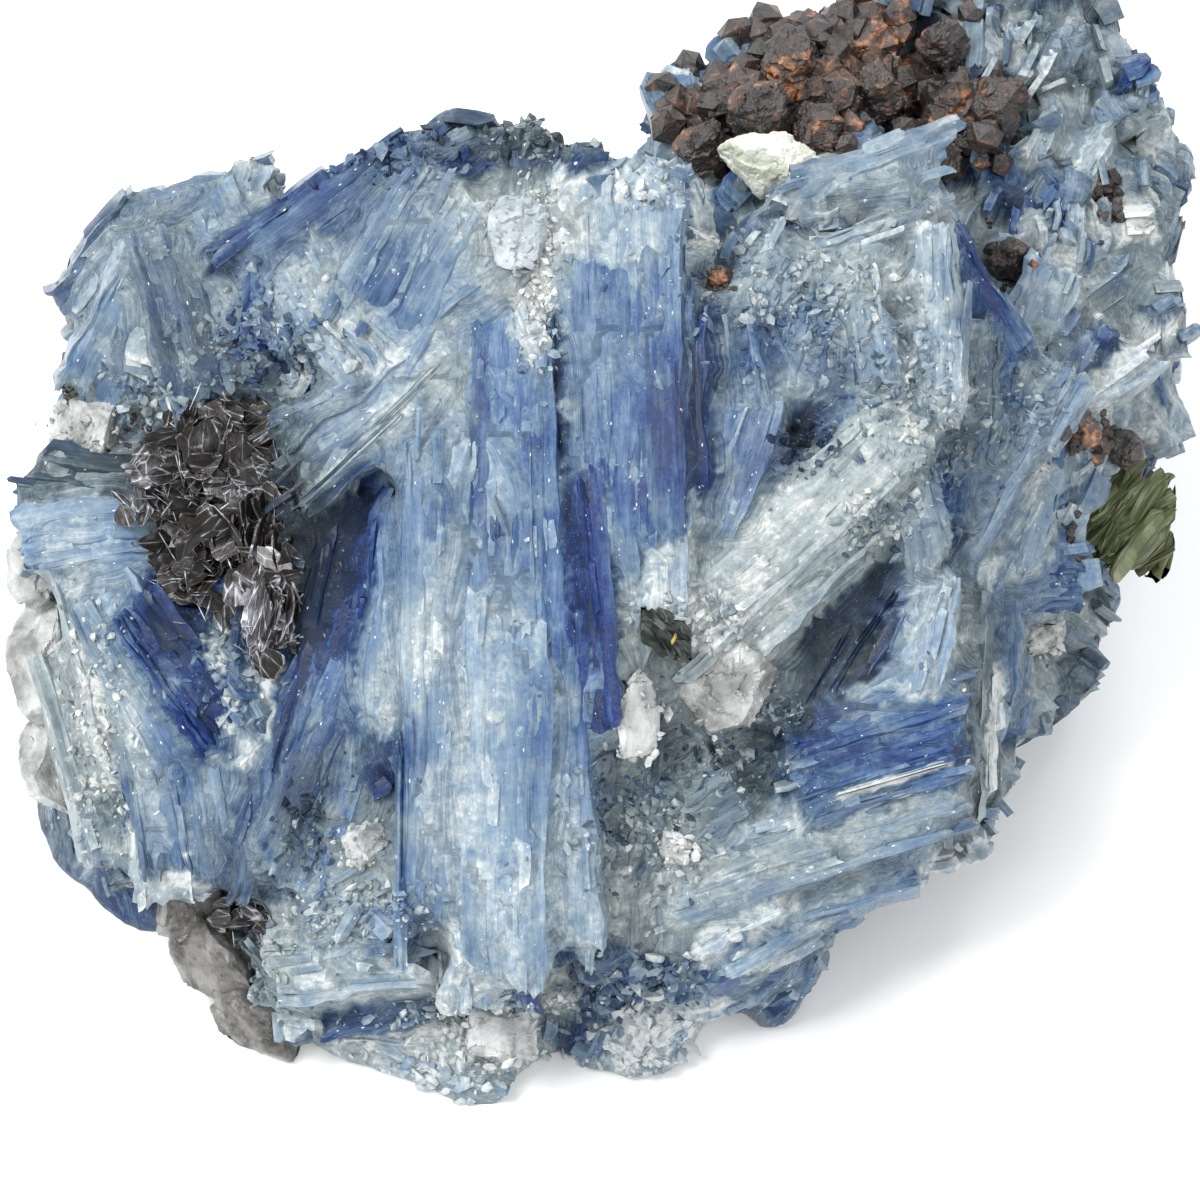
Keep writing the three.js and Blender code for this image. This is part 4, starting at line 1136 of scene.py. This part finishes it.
def sugary(rng):
    batches = []
    whole_tree, _, _ = tree_of([stone.data, small.data] + [o.data for o in crystals.values()])
    for *place, reach_u, reach_v, count, coarsest, pale, grey in SUGARY:
        spots = dropped(whole_tree, rng, place, (reach_u, reach_v), count, above=4.0, fall=8)
        n = len(spots)
        below = [blade_tree.find_nearest(spot)[2] for spot in spots]
        under = blade_tints[blade_faces[below]].mean(1)
        sizes = FINEST_SUGAR + (coarsest - FINEST_SUGAR) * rng.random(n) ** 2.2
        pale = (pale + under[:, 0]) / 2 + rng.normal(0.05, 0.13, n)
        grey = (grey + under[:, 1]) / 2 + rng.normal(0, 0.15, n)
        tints = np.stack([pale, grey, rng.uniform(0, 0.9, n)], 1)
        batches.append(chunks(rng, np.array(spots), sizes, tints))
    return batches


crystal_piece("sugary_grains", sugary(np.random.default_rng(950)), crust_skin)

rng = np.random.default_rng(955)
for skin, name in (
    (milky_quartz, "milky_crumbs"), (grey_quartz, "grey_crumbs"), (frosted_quartz, "frosted_crumbs"),
):
    n = CRUMBS_TO_A_GRAIN
    batches = []
    for grain in grains:
        if grain.data.materials[0] == skin:
            spots, _ = surface_spots(rng, points_of(grain.data), triangles_of(grain.data), n)
            spots = spots + rng.normal(0, 0.3, (n, 3)) * (1, 1, 0.3) * MM
            sizes = 0.14 + 0.7 * rng.random(n) ** 2.5
            batches.append(chunks(rng, spots, sizes, np.zeros((n, 3)), uneven=0.35))
    mesh_object(name, mesh_from(name, joined(batches)), skin, "quartz", "quartz_centre")

dust_tree, dust_points, dust_faces = tree_of(
    [stone.data, small.data, back.data] + [o.data for o in crystals.values()])
rng = np.random.default_rng(960)
spots, outward = surface_spots(rng, dust_points, dust_faces, DUST_SPOTS)
keep = (spots[:, 2] > DUST_FROM) & (outward[:, 2] > -0.2)
for k in np.flatnonzero(keep):
    start = Vector(spots[k] + outward[k] * 0.1 * MM)
    keep[k] = dust_tree.ray_cast(start, Vector(outward[k]), HEADROOM)[0] is None
spots = spots[keep]
n = len(spots)
sizes = 0.06 + 0.30 * rng.random(n) ** 4
tints = np.stack([rng.uniform(0.35, 0.85, n), rng.uniform(0.1, 0.6, n), rng.uniform(0, 1, n)], 1)
crystal_piece("dust", [chunks(rng, spots, sizes, tints, squash=(0.3, 1.0))], crust_skin)

# ---------------------------------------------------------------- smoky mica
# Books of brown-black mica stand in the hollow on the left: stacks of thin sheets with torn edges,
# whose glints are painted into the colour, and loose sheets leaning between them.
SHEET_SPOKES = 24


def sheet_template():
    """A thin round sheet with a ring inside its rim, so that it can curl."""
    bm = bmesh.new()
    bmesh.ops.create_circle(bm, segments=SHEET_SPOKES, radius=0.5, cap_ends=True)
    bmesh.ops.inset_region(bm, faces=bm.faces, thickness=0.05, use_even_offset=True, use_boundary=True)
    body = bmesh.ops.extrude_face_region(bm, geom=bm.faces[:])["geom"]
    bmesh.ops.translate(bm, verts=[g for g in body if isinstance(g, bmesh.types.BMVert)], vec=(0, 0, 1))
    bmesh.ops.recalc_face_normals(bm, faces=bm.faces)
    bmesh.ops.triangulate(bm, faces=bm.faces)
    return corners_and_triangles(bm)


sheet = sheet_template()


def sheets(rng, centres, turns, sizes):
    """Sheets of mica, snapped off along six straight sides; sizes are across, along and
    thickness in millimetres."""
    corners, triangles = sheet
    n, m = len(centres), len(corners)
    angle = np.arctan2(corners[:, 1], corners[:, 0])
    sides = np.linspace(0, 2 * np.pi, 6, endpoint=False) + rng.uniform(-0.4, 0.4, (n, 6))
    facing = np.maximum(np.cos(angle[None, :, None] - sides[:, None]), 0.2)
    snapped = (rng.uniform(0.55, 1.1, (n, 1, 6)) / facing).min(2)
    spoke = np.rint(angle / (2 * np.pi / SHEET_SPOKES)).astype(int) % SHEET_SPOKES
    snapped = snapped * rng.uniform(0.84, 1.0, (n, SHEET_SPOKES))[:, spoke]
    x = corners[None, :, 0] * snapped * sizes[:, 0:1]
    y = corners[None, :, 1] * snapped * sizes[:, 1:2]
    curl = rng.normal(0, 0.02, (n, 1)) * x ** 2 + rng.normal(0, 0.02, (n, 1)) * x * y
    z = corners[None, :, 2] * sizes[:, 2:3] + curl
    points = inside_box(centres[:, None] + np.einsum("nij,nmj->nmi", turns, np.stack([x, y, z], -1) * MM))
    # Each sheet's rim carries a painted glint: rim marks the edge, and rim_glint sets how bright that
    # painted glint is.
    rim = (np.hypot(corners[:, 0], corners[:, 1]) > 0.47).astype(float)
    own = rng.uniform(0, 1, (n, 1))
    rim_glint = np.repeat(rng.uniform(0, 1, (n, 1)) ** 2, m, 1)
    tint = np.stack([np.repeat(own, m, 1), rim_glint, np.repeat(rim[None], n, 0)], -1)
    return laid_out(points, triangles, np.stack([x, y, own * 40 + 0 * x], -1), tint)


mica_skin, tree, skin = new_material("smoky mica")
parts = new_node(tree, "ShaderNodeSeparateXYZ", {0: attribute(tree, "tint")}).outputs
place = object_place(tree)
smoke = stretched(tree, place, (650, 650, 650), 5.0, 0.65)
clouded = stretched(tree, place, (190, 190, 190), 3.0, 0.6)
grain = attribute(tree, "grain")
streak = stretched(tree, grain, (3.0, 0.9, 1.0), 5.0, 0.7)
cracked = new_node(tree, "ShaderNodeMapping", {"Vector": grain, "Scale": (1.5, 0.45, 1.0)}).outputs[0]
cracked = {"Vector": cracked, "Scale": 1.0}
cracks = new_node(tree, "ShaderNodeTexVoronoi", cracked, feature="DISTANCE_TO_EDGE").outputs["Distance"]
# Bright hairlines along the cleavage cracks: painted glints of light off the crack edges, added to the
# colour.
crack_glints = maths(tree, "MULTIPLY_ADD", cracks, -16.0, 1.0, clamp=True)
shade = maths(tree, "MULTIPLY_ADD", streak, 1.2, -1.14)
shade = maths(tree, "MULTIPLY_ADD", clouded, 1.4, shade)
shade = maths(tree, "MULTIPLY_ADD", smoke, 0.5, shade)
shade = maths(tree, "MULTIPLY_ADD", maths(tree, "MULTIPLY", crack_glints, streak), 0.7, shade)
shade = maths(tree, "MULTIPLY_ADD", maths(tree, "POWER", parts[0], 3), 0.16, shade)
# Painted glint: the rims are brightened in the colour to stand for light caught by their torn edges.
rim = maths(tree, "MULTIPLY", maths(tree, "POWER", parts[2], 3), maths(tree, "MULTIPLY", parts[1], smoke))
shade = maths(tree, "ADD", rim, shade, clamp=True)
shades = (
    (0.20, (0.006, 0.005, 0.004)), (0.42, (0.024, 0.021, 0.018)), (0.60, (0.082, 0.080, 0.083)),
    (0.80, (0.27, 0.27, 0.30)), (1.0, (0.60, 0.61, 0.65)),
)
feed(tree, skin, {"Base Color": ramp(tree, shade, shades), "Roughness": 0.24, "IOR": 1.58,
                  "Specular IOR Level": 0.22})
bumped(tree, skin, smoke, 0.05)


def book(rng, node, count, normal, spread):
    """A stack of sheets through the CAD book's place, facing along normal."""
    low, high = (np.array(c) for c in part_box(node))
    middle, reach = (low + high) / 2, (high - low).max() / MM
    out = np.array(normal, float) / np.linalg.norm(normal)
    steps = np.linspace(-0.5, 0.5, count)
    centres = middle + out * (steps * spread * MM)[:, None] + rng.normal(0, 0.16, (count, 3)) * MM
    outward = out + rng.normal(0, 0.10, (count, 3))
    turns = lying(outward, np.tile(face_turn @ np.array([0.3, 1.0, 0.0]), (count, 1)))
    sizes = np.stack([reach * rng.uniform(0.55, 0.95, count), reach * rng.uniform(0.55, 0.95, count),
                      rng.uniform(0.05, 0.14, count)], 1)
    return sheets(rng, centres, turns, sizes)


rng = np.random.default_rng(70)
for node, count, normal, spread in (
    ("mica_book_upper", 16, (0.25, -0.5, 0.9), 2.4), ("mica_book_middle", 18, (0.9, -0.3, 0.35), 4.2),
    ("mica_book_lower", 14, (-0.8, -0.4, 0.6), 3.4), ("mica_book_outer", 9, (0.2, -0.9, 0.5), 1.8),
):
    stack = mesh_from(f"{node}_sheets", book(rng, node, count, normal, spread))
    mesh_object(f"{node}_sheets", stack, mica_skin, "mica", node)

# Where loose sheets lean: u, v, w, reach, how many, widest.
LEANING = (
    (-17.4, 4.6, -5.9, 3.0, 90, 3.8), (-19.6, 8.6, -6.1, 2.2, 56, 3.4), (-16.4, 0.0, -4.9, 2.0, 60, 3.0),
    (-22.6, 6.4, -7.0, 1.8, 30, 2.6), (-21.0, 1.8, -7.0, 2.0, 40, 3.0), (-26.2, 11.6, -9.2, 0.8, 10, 1.4),
    (-18.7, -17.0, -10.6, 1.6, 14, 1.8), (-16.6, -10.0, -6.4, 1.2, 12, 1.6),
    (-27.4, -6.6, -14.0, 2.6, 12, 2.0),
)


def leaning(rng, place, spread, count, lean, widths, lengths):
    """Loose sheets at all angles, leaning out of the face."""
    centres = face_to_world(np.array(place) + rng.normal(0, 0.5, (count, 3)) * spread)
    turns = lying(rng.normal(0, lean, (count, 3)) + face_out, rng.normal(0, 1, (count, 3)))
    sizes = np.stack([rng.uniform(*widths, count), rng.uniform(*lengths, count),
                      rng.uniform(0.02, 0.05, count)], 1)
    return sheets(rng, centres, turns, sizes)


batches = []
for u, v, w, reach, count, widest in LEANING:
    batches.append(leaning(rng, (u, v, w), (reach, reach * 1.3, 0.9), count, 0.36,
                           (0.35 * widest, 0.9 * widest), (0.5 * widest, 1.1 * widest)))
    # Hairline sheets count as rim all over, so they carry the painted glint along their whole length.
    points, faces, grain, tint = leaning(rng, (u, v, w + 0.4), (reach, reach * 1.3, 0.8), count, 0.5,
                                         (0.03, 0.10), (0.15 * widest, 0.8 * widest))
    batches.append((points, faces, grain, tint * (1, 0.75, 0) + (0, 0.25, 1)))
mesh_object("loose_mica", mesh_from("loose_mica", joined(batches)), mica_skin, "mica", "mica_book_middle")

# ---------------------------------------------------------------- garnets
# Garnets are dark red-brown twelve-sided crystals, chipped and crusted with rust. The shoulder
# behind carries a tight crowd of them with smaller ones packed between.
FINEST_GARNET = 0.3
garnet_skin, tree, skin = new_material("rusty garnet")
place = object_place(tree)
rust = stretched(tree, place, (300, 300, 300), 6.0, 0.66)
crust = stretched(tree, place, (1700, 1700, 1700), 5.0, 0.7)
tone = maths(tree, "MULTIPLY_ADD", crust, 0.55, maths(tree, "MULTIPLY", rust, 0.75))
shades = (
    (0.54, (0.006, 0.005, 0.005)), (0.66, (0.022, 0.013, 0.009)), (0.74, (0.075, 0.040, 0.024)),
    (0.79, (0.380, 0.135, 0.045)), (0.88, (0.36, 0.32, 0.24)),
)
gloss = maths(tree, "MULTIPLY_ADD", tone, 0.8, -0.2, clamp=True)
feed(tree, skin, {"Base Color": ramp(tree, tone, shades), "Roughness": gloss, "IOR": 1.75})
bumped(tree, skin, crust, 0.22)

garnet_nodes = sorted(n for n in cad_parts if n.startswith("garnet_"))
for seed, node in enumerate(garnet_nodes):
    name = f"{node}_crystal"
    crystal = facet_grain(
        name, node, 60 + seed, facets=5, depth=0.25, fineness=900, roughen=0.22, voxel=0.14 * MM)
    mesh_object(name, crystal, garnet_skin, "garnet", node)

# Where small garnets crowd: u, v, w, reach in u and v, how many, coarsest.
CROWDS = (
    (8.0, 27.8, -18.4, 4.6, 1.9, 170, 2.8), (15.0, 28.8, -19.4, 5.0, 2.8, 210, 3.0),
    (20.4, 26.8, -19.4, 2.6, 3.4, 130, 2.4), (12.5, 32.6, -21.0, 5.5, 2.0, 150, 2.6),
    (26.8, 8.8, -13.2, 1.8, 0.9, 60, 1.2), (6.2, 16.2, -2.8, 0.7, 0.5, 26, 0.6),
    (22.4, 18.4, -13.6, 1.0, 1.4, 60, 1.2), (28.4, 22.6, -21.6, 0.8, 1.6, 40, 1.3),
    (25.8, 3.5, -14.4, 0.7, 0.9, 30, 0.9), (-28.3, 11.0, -9.6, 0.8, 0.9, 30, 0.7),
    (-24.6, 9.0, -8.4, 1.4, 1.0, 16, 0.5),
)
rng = np.random.default_rng(80)
bare_tree, _, _ = tree_of([stone.data, back.data, small.data])
batches = []
for *place, reach_u, reach_v, count, coarsest in CROWDS:
    spots = np.array(dropped(bare_tree, rng, place, (reach_u, reach_v), count, above=5.0, fall=12))
    sizes = FINEST_GARNET + (coarsest - FINEST_GARNET) * rng.random(len(spots)) ** 1.6
    plain = np.zeros((len(spots), 3))
    batches.append(chunks(rng, spots, sizes, plain, squash=(0.75, 1.1), uneven=0.18))
crowded_garnets = mesh_from("small_garnets", joined(batches))
mesh_object("small_garnets", crowded_garnets, garnet_skin, "garnet", "garnet_1")

# ---------------------------------------------------------------- hornblende and green mica
# A dark splinter lies by the clear quartz, with one brassy fleck on it. An olive fibrous grain
# sits on the right-hand slope.
FLECK_PLACE = np.array([0.35, -0.35, 2.1])
FLECK_SIZE = 0.45


def fibrous_skin(name, dark, mid, light):
    made, tree, skin = new_material(name)
    streak = stretched(tree, attribute(tree, "grain"), (5.0, 0.4, 1.0), 4.0, 0.7)
    shades = ramp(tree, streak, ((0.32, dark), (0.55, mid), (0.74, light)))
    feed(tree, skin, {"Base Color": shades, "Roughness": 0.42})
    bumped(tree, skin, streak, 0.08)
    return made


def bundle(name, node, heading, count, seed, skin, slot, narrow=1.0, along=0.6, proud=0.0):
    """A loose bundle of fibres filling the CAD grain's place."""
    rng = np.random.default_rng(seed)
    low, high = (np.array(c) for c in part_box(node))
    middle, reach = (low + high) / 2, (high - low) / MM
    turn = face_rotations([heading], [0], [0])[0]
    spread = rng.normal(0, 0.20, (count, 3)) * (reach[0] * narrow, reach[1] * along, 0.30 * reach[2])
    centres = middle + (spread * MM) @ turn.T
    wobble = (rng.normal(0, 9, count), rng.normal(0, 6, count), rng.normal(0, 25, count))
    sizes = np.stack([rng.uniform(0.3, 0.9, count), reach.max() * rng.uniform(0.35, 0.8, count),
                      rng.uniform(0.4, 1.0, count)], 1)
    turns = turn[None] @ local_turns(*wobble)
    points, *rest = slabs(rng, small_slab, centres, turns, sizes, np.zeros((count, 3)))
    points = np.clip(points, low, high) + face_out * proud * MM
    return mesh_object(name, mesh_from(name, (points, *rest)), skin, slot, node)


dark_fibre = fibrous_skin("hornblende", (0.008, 0.012, 0.011), (0.030, 0.040, 0.034), (0.13, 0.15, 0.12))
olive_fibre = fibrous_skin("green mica", (0.030, 0.036, 0.014), (0.110, 0.125, 0.055), (0.26, 0.29, 0.17))
bundle("hornblende_splinter", "hornblende", -48, 60, 91, dark_fibre, "hornblende", narrow=0.5,
       along=1.3, proud=1.2)
bundle("green_mica_fibres", "green_mica", 50, 90, 92, olive_fibre, "green_mica")
brass, tree, skin = new_material("brassy fleck")
feed(tree, skin, {"Base Color": (0.60, 0.42, 0.10, 1), "Metallic": 1.0, "Roughness": 0.35})
low, high = (np.array(c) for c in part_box("hornblende"))
spot = np.array([(low + high) / 2 + face_turn @ FLECK_PLACE * MM])
fleck = chunks(np.random.default_rng(93), spot, np.array([FLECK_SIZE]), np.zeros((1, 3)))
mesh_object("brassy_fleck", mesh_from("brassy_fleck", fleck), brass, "hornblende", "hornblende")
